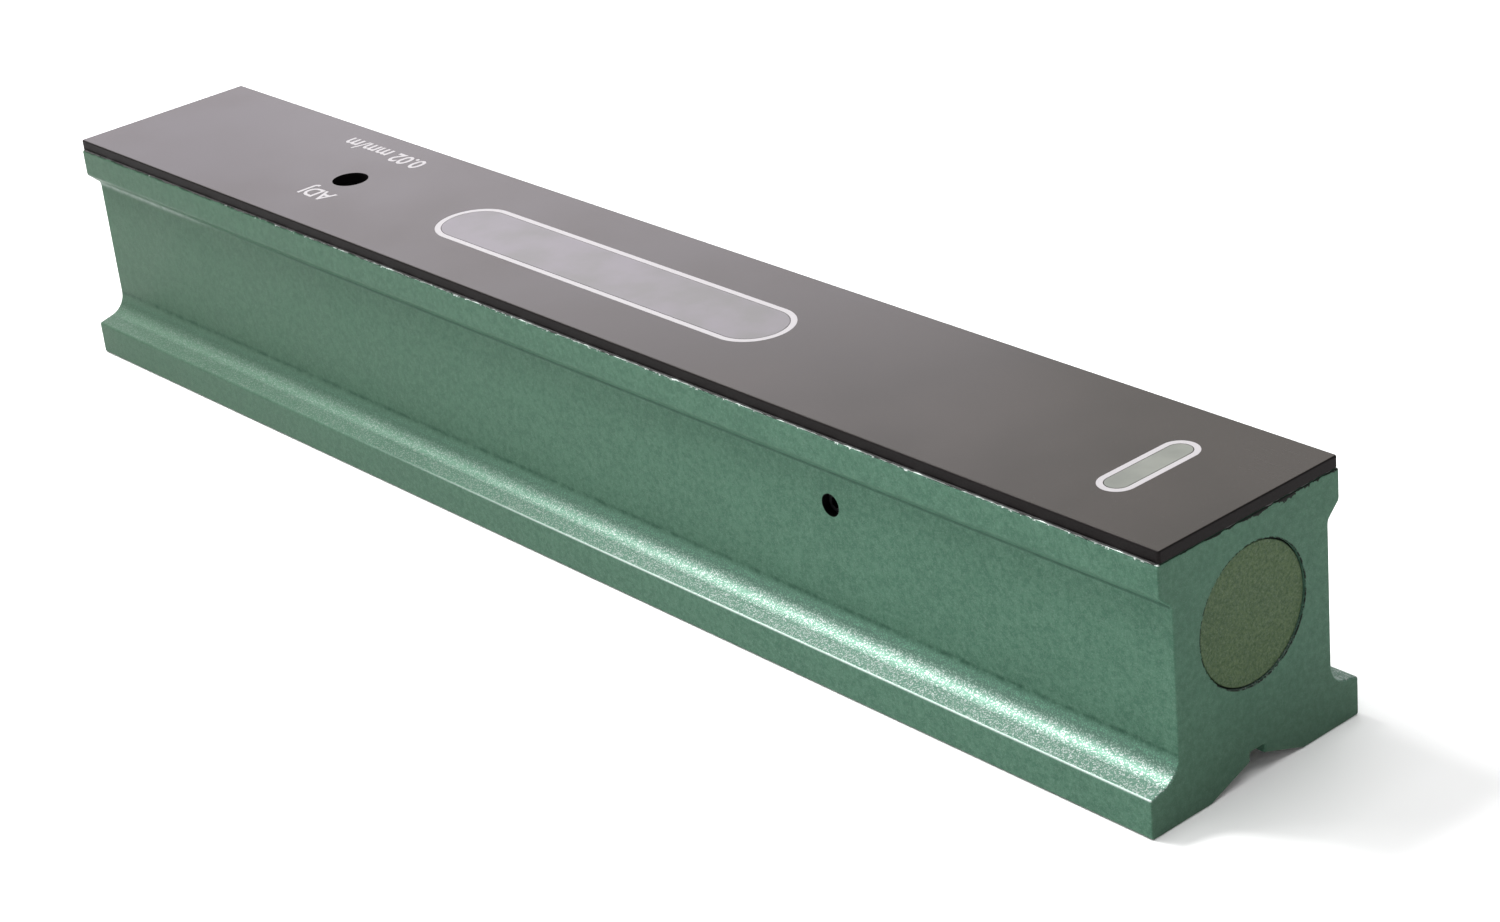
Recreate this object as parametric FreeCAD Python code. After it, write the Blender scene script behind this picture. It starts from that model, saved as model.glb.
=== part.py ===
import FreeCAD, Part

# Precision machinist level, 300 mm.
# A cast iron bar with a vee base carries a long vial in an adjustable tube and a short cross vial.
# Millimetres. The origin is the centre of the base; +X runs to the end with the cross vial,
# +Y to the back and +Z up.

import os
from math import atan2, cos, degrees, pi, radians, sin, sqrt, tan

Vec = FreeCAD.Vector
X_AXIS = Vec(1, 0, 0)
Y_AXIS = Vec(0, 1, 0)
Z_AXIS = Vec(0, 0, 1)

# ---- driving dimensions -------------------------------------------------------------------

# body
length = 300.0
base_width = 48.0
overall_height = 47.0
wall_width = 35.2
band_width = 40.6
ledge_low_z = 36.8
ledge_high_z = 39.3
flange_edge_height = 6.8
flange_slope_deg = 13.5
flange_fillet = 4.3
ledge_fillet = 1.5
band_corner = 1.2
edge_round = 0.5
end_edge_round = 0.35
vee_edge_round = 0.3
relief_corner = 0.4

# vee in the base, with its relief slot
vee_angle_deg = 140.0
vee_mouth_width = 21.5
relief_width = 3.5
relief_top_z = 4.9

# bore for the vial tube, and the plugs that close it
bore_radius = 12.0
bore_z = 28.2
plug_thickness = 8.0
plug_recess = 0.3
plug_chamfer = 0.4

# cover plate, its bond and its windows
plate_width = 40.0
plate_thickness = 2.0
plate_edge_round = 0.3
bond_thickness = 0.2
bond_setback = 0.6
access_radius = 3.6
rebate_depth = 1.0
rebate_width = 1.5
lens_gap = 0.05
lens_rise = 0.03
main_window_length = 91.8
main_window_width = 13.0
cross_window_x = 130.1
cross_window_length = 18.1
cross_window_width = 4.3
sight_slot_margin = 0.6

# tube of the main vial, hung on its pivot screws
tube_z = 30.6
tube_radius = 7.5
tube_wall = 1.0
tube_left_x = -73.0
tube_right_x = 68.5
tube_slot_length = 92.0
tube_slot_width = 11.0
block_head_length = 15.0
block_spigot_length = 10.0
block_chamfer = 0.5

# pivot screws, M4 with 90 degree cone points
pivot_x = 76.0
pivot_screw_radius = 2.0
pivot_screw_recess = 1.25
pivot_screw_tip_radius = 0.3
pivot_dimple_radius = 1.5
pivot_cone_gap = 0.05
pivot_key_across_flats = 2.0
pivot_key_depth = 2.5
pivot_screw_chamfer = 0.25

# adjusting screw, M4 x 0.5 with a low head, and its spring
adjusting_x = -80.5
head_well_radius = 4.2
adjusting_head_radius = 3.3
adjusting_head_height = 1.8
adjusting_seat_z = 42.8
adjusting_screw_radius = 2.0
adjusting_screw_tip_z = 24.5
adjusting_running_gap = 0.05
adjusting_thread_gap = 0.07
adjusting_key_across_flats = 2.5
adjusting_key_depth = 2.4
adjusting_head_chamfer = 0.3
adjusting_tip_chamfer = 0.4
spring_wire_radius = 0.35
spring_mean_radius = 2.85
spring_turns = 3
spring_spans_per_turn = 4
spring_pocket_radius = 4.2
spring_pocket_depth = 6.0

# main vial
vial_radius = 6.0
vial_wall = 1.2
vial_half_length = 54.0
vial_shoulder = 4.5
spirit_gap = 0.02
seat_inner_x = 46.5
seat_length = 4.5
backing_half_length = 45.0
backing_thickness = 0.25
backing_gap = 0.05
backing_half_angle_deg = 80.0
bubble_length = 28.0
bubble_depth = 1.6
bubble_gap = 0.1
bubble_travel = 34.5

# cross vial and its cradle
cross_vial_z = 39.5
cross_vial_radius = 4.0
cross_vial_wall = 1.0
cross_vial_half_length = 11.0
cross_vial_shoulder = 2.5
cross_bubble_length = 5.5
cross_bubble_depth = 1.0
cross_bubble_travel = 5.4
cross_pocket_width = 12.0
cross_pocket_length = 31.2
cross_pocket_floor_z = 33.0
cross_pocket_corner = 2.0
cradle_width = 11.0
cradle_length = 20.8
cradle_bottom_z = 31.0
cradle_bed = 0.25
cradle_corner = 0.5
ear_length = 30.8
ear_thickness = 2.0
ear_screw_y = 13.5
ear_screw_radius = 1.0
ear_screw_head_radius = 1.9
ear_screw_head_height = 1.3
ear_screw_reach = 5.0
ear_hole_depth = 6.0
ear_hole_gap = 0.1
ear_screw_slot_width = 0.5
ear_screw_slot_depth = 0.6

# ---- worked out ---------------------------------------------------------------------------

plate_top_z = overall_height - lens_rise
plate_bottom_z = plate_top_z - plate_thickness
body_top_z = plate_bottom_z - bond_thickness
flank_slope = tan(radians(90.0 - vee_angle_deg / 2))
cross_axis_point = Vec(cross_window_x, 0, cross_vial_z)


# ---- shared shapes ------------------------------------------------------------------------

def rounded_outline(corners):
    """Closed wire through corners of (point, radius), with a tangent arc at each radius."""
    edges = []
    ends = []
    count = len(corners)
    for i in range(count):
        point, radius = corners[i]
        to_last = (corners[i - 1][0] - point).normalize()
        to_next = (corners[(i + 1) % count][0] - point).normalize()
        if radius == 0:
            ends.append((point, point))
            continue
        half_angle = to_last.getAngle(to_next) / 2
        reach = radius / tan(half_angle)
        bisector = (to_last + to_next).normalize()
        middle = point + bisector * (radius / sin(half_angle) - radius)
        start = point + to_last * reach
        end = point + to_next * reach
        edges.append(Part.Arc(start, middle, end).toShape())
        ends.append((start, end))
    for i in range(count):
        edges.append(Part.LineSegment(ends[i - 1][1], ends[i][0]).toShape())
    return Part.Wire(Part.__sortEdges__(edges))


def rounded_block(centre_x, size_x, size_y, low_z, high_z, corner):
    """Upright block centred on Y = 0, with rounded upright edges."""
    half_x = size_x / 2
    half_y = size_y / 2
    points = [(-half_x, -half_y), (half_x, -half_y), (half_x, half_y), (-half_x, half_y)]
    outline = rounded_outline([(Vec(centre_x + x, y, low_z), corner) for x, y in points])
    return Part.Face(outline).extrude(Z_AXIS * (high_z - low_z))


def stadium(centre_x, size_x, size_y, low_z, high_z):
    """Upright block, centred on Y = 0, with fully round ends along its longer side."""
    radius = min(size_x, size_y) / 2
    reach = max(size_x, size_y) / 2
    along, across = (X_AXIS, Y_AXIS) if size_x > size_y else (Y_AXIS, X_AXIS)
    centre = Vec(centre_x, 0, low_z)
    edges = []
    for side in (-1, 1):
        turn = centre + along * (side * (reach - radius))
        tip = centre + along * (side * reach)
        edges.append(Part.Arc(turn - across * radius, tip, turn + across * radius).toShape())
        edges.append(Part.LineSegment(
            centre + across * (side * radius) - along * (reach - radius),
            centre + across * (side * radius) + along * (reach - radius)).toShape())
    outline = Part.Wire(Part.__sortEdges__(edges))
    return Part.Face(outline).extrude(Z_AXIS * (high_z - low_z))


def cylinder(radius, start, axis, reach):
    """Cylinder from start along axis."""
    return Part.makeCylinder(radius, reach, start, axis)


def shouldered_rod(radius, half_length, shoulder):
    """Rod along X about the origin, with a conical shoulder at each end."""
    rod = cylinder(radius, Vec(-half_length, 0, 0), X_AXIS, 2 * half_length)
    return rod.makeChamfer(shoulder, edges_at(rod, "X", -half_length) + edges_at(rod, "X", half_length))


def hex_prism(across_flats, base, axis, reach):
    """Hexagonal key socket, as the prism that is cut out for it."""
    corner_radius = across_flats / sqrt(3)
    side = Z_AXIS if abs(axis.z) < 0.5 else X_AXIS
    other = axis.cross(side)
    corners = [
        base + side * (corner_radius * cos(k * pi / 3)) + other * (corner_radius * sin(k * pi / 3))
        for k in range(6)
    ]
    return Part.Face(Part.makePolygon(corners + corners[:1])).extrude(axis * reach)


def edges_at(shape, axis_name, value):
    """Edges that lie wholly on the plane where one coordinate has the value."""
    low = axis_name + "Min"
    high = axis_name + "Max"
    tolerance = 1e-4
    return [
        edge for edge in shape.Edges
        if abs(getattr(edge.BoundBox, low) - value) < tolerance
        and abs(getattr(edge.BoundBox, high) - value) < tolerance
    ]


# ---- body ---------------------------------------------------------------------------------

def body_section():
    """Section of the bar across its length: flanged foot, waisted walls and upper band."""
    half_mouth = vee_mouth_width / 2
    half_relief = relief_width / 2
    flank_top_z = (half_mouth - half_relief) * flank_slope
    foot_rise = (base_width - wall_width) / 2 * tan(radians(flange_slope_deg))
    right_half = [
        (half_relief, relief_top_z, relief_corner),
        (half_relief, flank_top_z, 0),
        (half_mouth, 0, vee_edge_round),
        (base_width / 2, 0, edge_round),
        (base_width / 2, flange_edge_height, edge_round),
        (wall_width / 2, flange_edge_height + foot_rise, flange_fillet),
        (wall_width / 2, ledge_low_z, ledge_fillet),
        (band_width / 2, ledge_high_z, band_corner),
        (band_width / 2, body_top_z, edge_round),
    ]
    left_half = [(-y, z, radius) for y, z, radius in reversed(right_half)]
    corners = [(Vec(-length / 2, y, z), radius) for y, z, radius in right_half + left_half]
    return Part.Face(rounded_outline(corners))


def make_body():
    """Bar with its bore, sight slot, cross pocket and screw holes."""
    bar = body_section().extrude(X_AXIS * length)
    bar = bar.makeFillet(end_edge_round, edges_at(bar, "X", -length / 2) + edges_at(bar, "X", length / 2))
    bore = cylinder(bore_radius, Vec(-length / 2, 0, bore_z), X_AXIS, length)
    cuts = [bore, sight_slot(bore_z, body_top_z), cross_pocket(cross_pocket_floor_z, body_top_z)]
    cuts.append(upright_hole(head_well_radius, adjusting_seat_z))
    cuts.append(upright_hole(adjusting_screw_radius + adjusting_running_gap, bore_z))
    for side in (-1, 1):
        cuts.append(cylinder(
            pivot_screw_radius, Vec(pivot_x, 0, tube_z), Y_AXIS * side, base_width / 2))
        cuts.append(cylinder(
            ear_screw_radius, Vec(cross_window_x, side * ear_screw_y, cross_pocket_floor_z),
            Z_AXIS * -1, ear_hole_depth))
    for cut in cuts:
        bar = bar.cut(cut)
    return bar


def upright_hole(radius, low_z):
    """What a hole on the adjusting screw's axis takes away above low_z."""
    return cylinder(radius, Vec(adjusting_x, 0, low_z), Z_AXIS, overall_height - low_z)


def sight_slot(low_z, high_z):
    """Opening over the main vial."""
    return stadium(
        0, main_window_length + 2 * sight_slot_margin, main_window_width + 2 * sight_slot_margin,
        low_z, high_z)


def cross_pocket(low_z, high_z):
    """Pocket that holds the cross vial."""
    return rounded_block(
        cross_window_x, cross_pocket_width, cross_pocket_length, low_z, high_z, cross_pocket_corner)


def make_end_plug(side):
    """Disc that closes the bore, its rim chamfered so that a fine groove shows around it."""
    outer_x = side * (length / 2 - plug_recess)
    disc = cylinder(bore_radius, Vec(outer_x, 0, bore_z), X_AXIS * -side, plug_thickness)
    return disc.makeChamfer(plug_chamfer, edges_at(disc, "X", outer_x))


# ---- cover --------------------------------------------------------------------------------

def main_opening(low_z, high_z, margin):
    """Outline of the main window, grown by a margin."""
    return stadium(0, main_window_length + 2 * margin, main_window_width + 2 * margin, low_z, high_z)


def cross_opening(low_z, high_z, margin):
    """Outline of the cross window, grown by a margin."""
    return stadium(
        cross_window_x, cross_window_width + 2 * margin, cross_window_length + 2 * margin, low_z, high_z)


def make_cover_plate():
    """Plate with two windows rebated from below and the hole over the adjusting screw."""
    plate = rounded_block(0, length, plate_width, plate_bottom_z, plate_top_z, edge_round)
    plate = plate.makeFillet(plate_edge_round, edges_at(plate, "Z", plate_top_z))
    rebate_top_z = plate_bottom_z + rebate_depth
    for opening in (main_opening, cross_opening):
        plate = plate.cut(opening(plate_bottom_z, plate_top_z, 0))
        plate = plate.cut(opening(plate_bottom_z, rebate_top_z, rebate_width))
    return plate.cut(upright_hole(access_radius, plate_bottom_z))


def make_cover_bond():
    """Adhesive film between the plate and the body, open where the body is open."""
    film = rounded_block(0, length - 2 * end_edge_round, plate_width, body_top_z, plate_bottom_z, edge_round)
    film = film.cut(sight_slot(body_top_z, plate_bottom_z))
    film = film.cut(cross_pocket(body_top_z, plate_bottom_z))
    return film.cut(upright_hole(access_radius + bond_setback, body_top_z))


def make_window(opening):
    """Clear lens with a flange in the plate's rebate and its top a hair above the plate."""
    rebate_top_z = plate_bottom_z + rebate_depth
    flange = opening(plate_bottom_z, rebate_top_z, rebate_width - lens_gap)
    return flange.fuse(opening(rebate_top_z, overall_height, -lens_gap)).removeSplitter()


# ---- tube, pivots and adjusting screw -----------------------------------------------------

def make_vial_tube():
    """Tube with a sight slot along its top."""
    reach = tube_right_x - tube_left_x
    start = Vec(tube_left_x, 0, tube_z)
    tube = cylinder(tube_radius, start, X_AXIS, reach)
    tube = tube.cut(cylinder(tube_radius - tube_wall, start, X_AXIS, reach))
    return tube.cut(stadium(0, tube_slot_length, tube_slot_width, tube_z, tube_z + tube_radius))


def tube_end_block(inner_x, side):
    """Turned end piece: a head as wide as the tube and a spigot inside it."""
    axis = X_AXIS * side
    spigot_start = Vec(inner_x, 0, tube_z) - axis * block_spigot_length
    head = cylinder(tube_radius, Vec(inner_x, 0, tube_z), axis, block_head_length)
    head = head.makeChamfer(block_chamfer, edges_at(head, "X", inner_x + side * block_head_length))
    return head.fuse(cylinder(tube_radius - tube_wall, spigot_start, axis, block_spigot_length))


def make_pivot_block():
    """End piece with two cone dimples, one for each pivot screw."""
    block = tube_end_block(tube_right_x, 1)
    for side in (-1, 1):
        mouth = Vec(pivot_x, side * tube_radius, tube_z)
        block = block.cut(Part.makeCone(
            pivot_dimple_radius, 0, pivot_dimple_radius, mouth, Y_AXIS * -side))
    return block


def make_pivot_screw(side):
    """Cone point set screw, its socket facing out."""
    inward = Y_AXIS * -side
    outer_y = side * (wall_width / 2 - pivot_screw_recess)
    apex_reach = abs(outer_y) - (tube_radius - pivot_dimple_radius) - pivot_cone_gap
    shank_reach = apex_reach - pivot_screw_radius
    outer_end = Vec(pivot_x, outer_y, tube_z)
    shank = cylinder(pivot_screw_radius, outer_end, inward, shank_reach)
    shank = shank.makeChamfer(pivot_screw_chamfer, edges_at(shank, "Y", outer_y))
    point = Part.makeCone(
        pivot_screw_radius, pivot_screw_tip_radius, pivot_screw_radius - pivot_screw_tip_radius,
        outer_end + inward * shank_reach, inward)
    return shank.fuse(point).cut(hex_prism(pivot_key_across_flats, outer_end, inward, pivot_key_depth))


def make_adjusting_block():
    """End piece with the upright thread of the adjusting screw and the pocket of its spring."""
    block = tube_end_block(tube_left_x, -1)
    top_z = tube_z + tube_radius
    thread_radius = adjusting_screw_radius + adjusting_thread_gap
    block = block.cut(cylinder(
        thread_radius, Vec(adjusting_x, 0, tube_z - tube_radius), Z_AXIS, 2 * tube_radius))
    return block.cut(upright_hole(spring_pocket_radius, top_z - spring_pocket_depth))


def make_adjusting_screw():
    """Low head screw that turns on its seat in the body and lifts or lowers the tube's end."""
    seat = Vec(adjusting_x, 0, adjusting_seat_z)
    head = cylinder(adjusting_head_radius, seat, Z_AXIS, adjusting_head_height)
    head_top_z = adjusting_seat_z + adjusting_head_height
    head = head.makeChamfer(adjusting_head_chamfer, edges_at(head, "Z", head_top_z))
    shank = cylinder(
        adjusting_screw_radius, seat, Z_AXIS * -1, adjusting_seat_z - adjusting_screw_tip_z)
    shank = shank.makeChamfer(adjusting_tip_chamfer, edges_at(shank, "Z", adjusting_screw_tip_z))
    socket = hex_prism(
        adjusting_key_across_flats, Vec(adjusting_x, 0, head_top_z), Z_AXIS * -1, adjusting_key_depth)
    return head.fuse(shank).cut(socket)


def wire_arc(start, along, end, radius):
    """Piece of round wire that leaves start along a direction and bends in one arc to end."""
    chord = end - start
    across = (chord - along * chord.dot(along)).normalize()
    bend_radius = chord.dot(chord) / (2 * chord.dot(across))
    bend_deg = degrees(2 * atan2(chord.dot(across), chord.dot(along)))
    section = Part.Face(Part.Wire(Part.makeCircle(radius, start, along)))
    return section.revolve(start + across * bend_radius, along.cross(across), bend_deg)


def coil(mean_radius, wire_radius, turns, rise):
    """Coil about the Z axis, with two smoothly joined arcs over each span of the helix."""
    spans = turns * spring_spans_per_turn

    def at(i):
        angle = 2 * pi * i / spring_spans_per_turn
        return Vec(mean_radius * cos(angle), mean_radius * sin(angle), rise * i / spans)

    def along(i):
        angle = 2 * pi * i / spring_spans_per_turn
        sweep = Vec(-mean_radius * sin(angle), mean_radius * cos(angle), rise / (2 * pi * turns))
        return sweep.normalize()

    pieces = []
    for i in range(spans):
        chord = at(i + 1) - at(i)
        both = along(i) + along(i + 1)
        bend = 2 * (1 - along(i).dot(along(i + 1)))
        reach = (sqrt(chord.dot(both) ** 2 + bend * chord.dot(chord)) - chord.dot(both)) / bend
        joint = (at(i) + at(i + 1) + (along(i) - along(i + 1)) * reach) / 2
        pieces.append(wire_arc(at(i), along(i), joint, wire_radius))
        pieces.append(wire_arc(at(i + 1), along(i + 1) * -1, joint, wire_radius))
    return pieces[0].multiFuse(pieces[1:])


def make_adjusting_spring():
    """Coil that bears on the roof of the bore and on the floor of the block's pocket."""
    outer_radius = spring_mean_radius + spring_wire_radius
    roof_z = bore_z + sqrt(bore_radius ** 2 - outer_radius ** 2)
    floor_z = tube_z + tube_radius - spring_pocket_depth
    rise = roof_z - floor_z - 2 * spring_wire_radius
    spring = coil(spring_mean_radius, spring_wire_radius, spring_turns, rise)
    spring.translate(Vec(adjusting_x, 0, floor_z + spring_wire_radius))
    return spring


# ---- vials --------------------------------------------------------------------------------

def bubble_segment(bore, half_length, depth, gap):
    """Top segment of a bore along X: what a bubble fills above the liquid's flat surface."""
    floor_z = bore - depth + gap
    half_chord = sqrt((bore - gap) ** 2 - floor_z ** 2)
    rod = cylinder(bore - gap, Vec(-half_length, 0, 0), X_AXIS, 2 * half_length)
    return rod.common(stadium(0, 2 * half_length, 2 * (half_chord + gap), floor_z, bore))


def bubble_run(bore, half_length, depth):
    """Space that the liquid leaves for the bubble over its whole travel."""
    floor_z = bore - depth
    return Part.makeBox(2 * half_length, 2 * bore, bore, Vec(-half_length, -bore, floor_z))


def place_main(shape):
    """Move a shape made about the origin onto the axis of the main vial."""
    shape.translate(Vec(0, 0, tube_z))
    return shape


def place_cross(shape):
    """Turn a shape made along X about the origin, and move it onto the axis of the cross vial."""
    shape.rotate(Vec(0, 0, 0), Z_AXIS, 90)
    shape.translate(cross_axis_point)
    return shape


def make_vial(radius, half_length, shoulder, wall):
    """Sealed glass tube with conical shoulders and an even wall."""
    inside = shouldered_rod(radius - wall, half_length - wall, shoulder_inside(shoulder, wall))
    return shouldered_rod(radius, half_length, shoulder).cut(inside)


def shoulder_inside(shoulder, inset):
    """Size of a 45 degree shoulder on a surface that lies inset from the outer one."""
    return shoulder - inset * (2 - sqrt(2))


def make_spirit(radius, half_length, shoulder, wall, run_half, depth):
    """Liquid inside a vial, less the run of its bubble."""
    inset = wall + spirit_gap
    inside = shouldered_rod(radius - inset, half_length - inset, shoulder_inside(shoulder, inset))
    return inside.cut(bubble_run(radius - wall, run_half, depth))


def make_vial_seat(side):
    """Plaster ring between the glass and its tube."""
    start = Vec(side * seat_inner_x, 0, tube_z)
    ring = cylinder(tube_radius - tube_wall, start, X_AXIS * side, seat_length)
    return ring.cut(cylinder(vial_radius, start, X_AXIS * side, seat_length))


def make_backing_strip():
    """Paper trough under the glass that makes the bubble stand out."""
    half_angle = radians(backing_half_angle_deg)

    def at(radius, angle):
        return Vec(-backing_half_length, radius * sin(angle), tube_z - radius * cos(angle))

    inner = vial_radius + backing_gap
    outer = inner + backing_thickness
    edges = [Part.Arc(at(r, -half_angle), at(r, 0), at(r, half_angle)).toShape() for r in (inner, outer)]
    for angle in (-half_angle, half_angle):
        edges.append(Part.LineSegment(at(inner, angle), at(outer, angle)).toShape())
    section = Part.Face(Part.Wire(Part.__sortEdges__(edges)))
    return section.extrude(X_AXIS * (2 * backing_half_length))


# ---- cross vial's cradle ------------------------------------------------------------------

def make_cross_holder():
    """Cradle with a trough for the vial and two ears that sit on the pocket's shoulders."""
    ear_top_z = cross_pocket_floor_z + ear_thickness
    ears = stadium(cross_window_x, cradle_width, ear_length, cross_pocket_floor_z, ear_top_z)
    cradle = rounded_block(
        cross_window_x, cradle_width, cradle_length, cradle_bottom_z, cross_vial_z, cradle_corner)
    holder = ears.fuse(cradle)
    holder = holder.cut(cross_rod(cross_vial_radius + cradle_bed, cradle_length))
    for side in (-1, 1):
        holder = holder.cut(cylinder(
            ear_screw_radius + ear_hole_gap,
            Vec(cross_window_x, side * ear_screw_y, cross_pocket_floor_z),
            Z_AXIS, ear_thickness))
    return holder.removeSplitter()


def cross_rod(radius, reach):
    """Rod on the axis of the cross vial."""
    return cylinder(radius, cross_axis_point - Y_AXIS * (reach / 2), Y_AXIS, reach)


def make_cross_holder_screws():
    """Two slotted cheese head screws through the ears."""
    ear_top_z = cross_pocket_floor_z + ear_thickness
    screws = []
    for side in (-1, 1):
        seat = Vec(cross_window_x, side * ear_screw_y, ear_top_z)
        head = cylinder(ear_screw_head_radius, seat, Z_AXIS, ear_screw_head_height)
        shank = cylinder(ear_screw_radius, seat, Z_AXIS * -1, ear_thickness + ear_screw_reach)
        slot = Part.makeBox(
            2 * ear_screw_head_radius, ear_screw_slot_width, ear_screw_slot_depth,
            seat + Vec(-ear_screw_head_radius, -ear_screw_slot_width / 2,
                       ear_screw_head_height - ear_screw_slot_depth))
        screws.append(head.fuse(shank).cut(slot))
    return Part.makeCompound(screws)


def make_cross_bedding():
    """Plaster between the cradle's trough and the glass."""
    bed = cross_rod(cross_vial_radius + cradle_bed, cradle_length)
    bed = bed.cut(cross_rod(cross_vial_radius, cradle_length))
    corner = cross_axis_point + Vec(-cradle_width / 2, -cradle_length / 2, -cradle_width)
    return bed.common(Part.makeBox(cradle_width, cradle_length, cradle_width, corner))


# ---- all pieces ---------------------------------------------------------------------------

def make_parts():
    """Every piece by its name."""
    main_glass = (vial_radius, vial_half_length, vial_shoulder, vial_wall)
    main_run_half = bubble_travel + bubble_length / 2 + bubble_gap
    cross_glass = (cross_vial_radius, cross_vial_half_length, cross_vial_shoulder, cross_vial_wall)
    cross_run_half = cross_bubble_travel + cross_bubble_length / 2 + bubble_gap
    return {
        "body": make_body(),
        "end_plug_left": make_end_plug(-1),
        "end_plug_right": make_end_plug(1),
        "cover_plate": make_cover_plate(),
        "cover_bond": make_cover_bond(),
        "main_window": make_window(main_opening),
        "cross_window": make_window(cross_opening),
        "vial_tube": make_vial_tube(),
        "pivot_block": make_pivot_block(),
        "pivot_screw_front": make_pivot_screw(-1),
        "pivot_screw_back": make_pivot_screw(1),
        "adjusting_block": make_adjusting_block(),
        "adjusting_screw": make_adjusting_screw(),
        "adjusting_spring": make_adjusting_spring(),
        "main_vial": place_main(make_vial(*main_glass)),
        "main_spirit": place_main(make_spirit(*main_glass, main_run_half, bubble_depth)),
        "main_bubble": place_main(bubble_segment(
            vial_radius - vial_wall, bubble_length / 2, bubble_depth, bubble_gap)),
        "vial_seat_left": make_vial_seat(-1),
        "vial_seat_right": make_vial_seat(1),
        "backing_strip": make_backing_strip(),
        "cross_holder": make_cross_holder(),
        "cross_holder_screws": make_cross_holder_screws(),
        "cross_bedding": make_cross_bedding(),
        "cross_vial": place_cross(make_vial(*cross_glass)),
        "cross_spirit": place_cross(make_spirit(*cross_glass, cross_run_half, cross_bubble_depth)),
        "cross_bubble": place_cross(bubble_segment(
            cross_vial_radius - cross_vial_wall, cross_bubble_length / 2, cross_bubble_depth, bubble_gap)),
    }


os.makedirs("parts", exist_ok=True)
for name, shape in make_parts().items():
    if not shape.isValid():
        raise ValueError(name + " is not a valid solid")
    box = shape.BoundBox
    print("%-20s solids %d volume %10.1f mm3  x %.2f %.2f  y %.2f %.2f  z %.2f %.2f" % (
        name, len(shape.Solids), shape.Volume,
        box.XMin, box.XMax, box.YMin, box.YMax, box.ZMin, box.ZMax))
    shape.exportStep("parts/%s.step" % name)
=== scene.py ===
"""Precision machinist level: finishes, print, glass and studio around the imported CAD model.

Lengths are in metres, in the model's own frame: the origin is the centre of the base, +X runs to the
end with the cross vial, +Y to the back and +Z up.
"""

import logging
from dataclasses import dataclass
from enum import Enum
from functools import cached_property
from math import pi
from typing import Protocol, Sequence

import bmesh
import bpy
import numpy as np
from mathutils import Matrix, Vector


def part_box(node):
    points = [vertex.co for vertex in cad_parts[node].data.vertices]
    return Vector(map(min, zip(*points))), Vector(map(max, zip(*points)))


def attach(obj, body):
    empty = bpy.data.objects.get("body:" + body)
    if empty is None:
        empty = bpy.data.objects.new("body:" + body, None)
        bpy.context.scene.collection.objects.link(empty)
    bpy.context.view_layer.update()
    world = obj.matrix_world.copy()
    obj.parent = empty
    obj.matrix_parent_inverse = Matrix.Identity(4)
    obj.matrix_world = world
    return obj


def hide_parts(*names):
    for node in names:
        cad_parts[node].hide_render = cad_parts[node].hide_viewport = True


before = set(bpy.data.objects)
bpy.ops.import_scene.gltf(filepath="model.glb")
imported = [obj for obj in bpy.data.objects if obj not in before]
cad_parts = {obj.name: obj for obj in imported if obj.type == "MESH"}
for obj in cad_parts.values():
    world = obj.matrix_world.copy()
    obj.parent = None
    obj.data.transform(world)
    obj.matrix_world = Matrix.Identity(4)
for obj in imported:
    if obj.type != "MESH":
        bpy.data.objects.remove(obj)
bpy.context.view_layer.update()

log = logging.getLogger("level")

MM = 0.001
BORE_CENTRE = (0.0, 0.0, 28.2 * MM)
Colour = tuple[float, float, float]
Place = tuple[float, float, float]
Surface = tuple[np.ndarray, np.ndarray]
Socket = bpy.types.NodeSocket


class Body(Enum):
    """The bodies of the motion model that a piece can ride on."""

    BASE = "base"
    VIAL_UNIT = "vial_unit"
    LONG_BUBBLE = "long_bubble"
    SHORT_BUBBLE = "short_bubble"


class Axis(Enum):
    """The axis that a piece was turned about."""

    X = 0
    Y = 1
    Z = 2


# ---- meshes ---------------------------------------------------------------------------------


def grid_faces(rows: int, columns: int, wrap_rows: bool, wrap_columns: bool) -> np.ndarray:
    """Quads between neighbouring points of a grid whose points are numbered row by row.

    Args:
        rows: Number of rows.
        columns: Number of points in a row.
        wrap_rows: Whether the last row joins the first.
        wrap_columns: Whether the last column joins the first.

    Returns:
        An array of four point numbers per face.
    """
    i = np.arange(rows if wrap_rows else rows - 1)[:, None]
    j = np.arange(columns if wrap_columns else columns - 1)[None, :]
    next_i = (i + 1) % rows
    next_j = (j + 1) % columns
    corners = [i * columns + j, next_i * columns + j, next_i * columns + next_j, i * columns + next_j]
    return np.stack([c + 0 * i + 0 * j for c in corners], axis=-1).reshape(-1, 4)


def make_piece(
    name: str, points: np.ndarray, faces: np.ndarray, body: Body, smooth: bool = True
) -> bpy.types.Object:
    """Put a computed surface into a mesh object that rides on a body.

    Points that fall together, as at a pole, are merged, and the faces are turned outwards.

    Args:
        name: Name of the object.
        points: Points, three numbers each, in metres.
        faces: Faces, four point numbers each.
        body: Body that the piece moves with.
        smooth: Whether the faces are shaded smooth.

    Returns:
        The new object.
    """
    mesh = bpy.data.meshes.new(name)
    mesh.from_pydata(points.reshape(-1, 3).tolist(), [], faces.tolist())
    work = bmesh.new()
    work.from_mesh(mesh)
    bmesh.ops.remove_doubles(work, verts=work.verts, dist=1e-8)
    bmesh.ops.dissolve_degenerate(work, edges=work.edges, dist=1e-9)
    bmesh.ops.recalc_face_normals(work, faces=work.faces)
    work.to_mesh(mesh)
    work.free()
    mesh.polygons.foreach_set("use_smooth", np.full(len(mesh.polygons), smooth))
    mesh.update()
    piece = bpy.data.objects.new(name, mesh)
    bpy.context.scene.collection.objects.link(piece)
    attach(piece, body.value)
    log.info("%s: %d faces on %s", name, len(mesh.polygons), body.value)
    return piece


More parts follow.
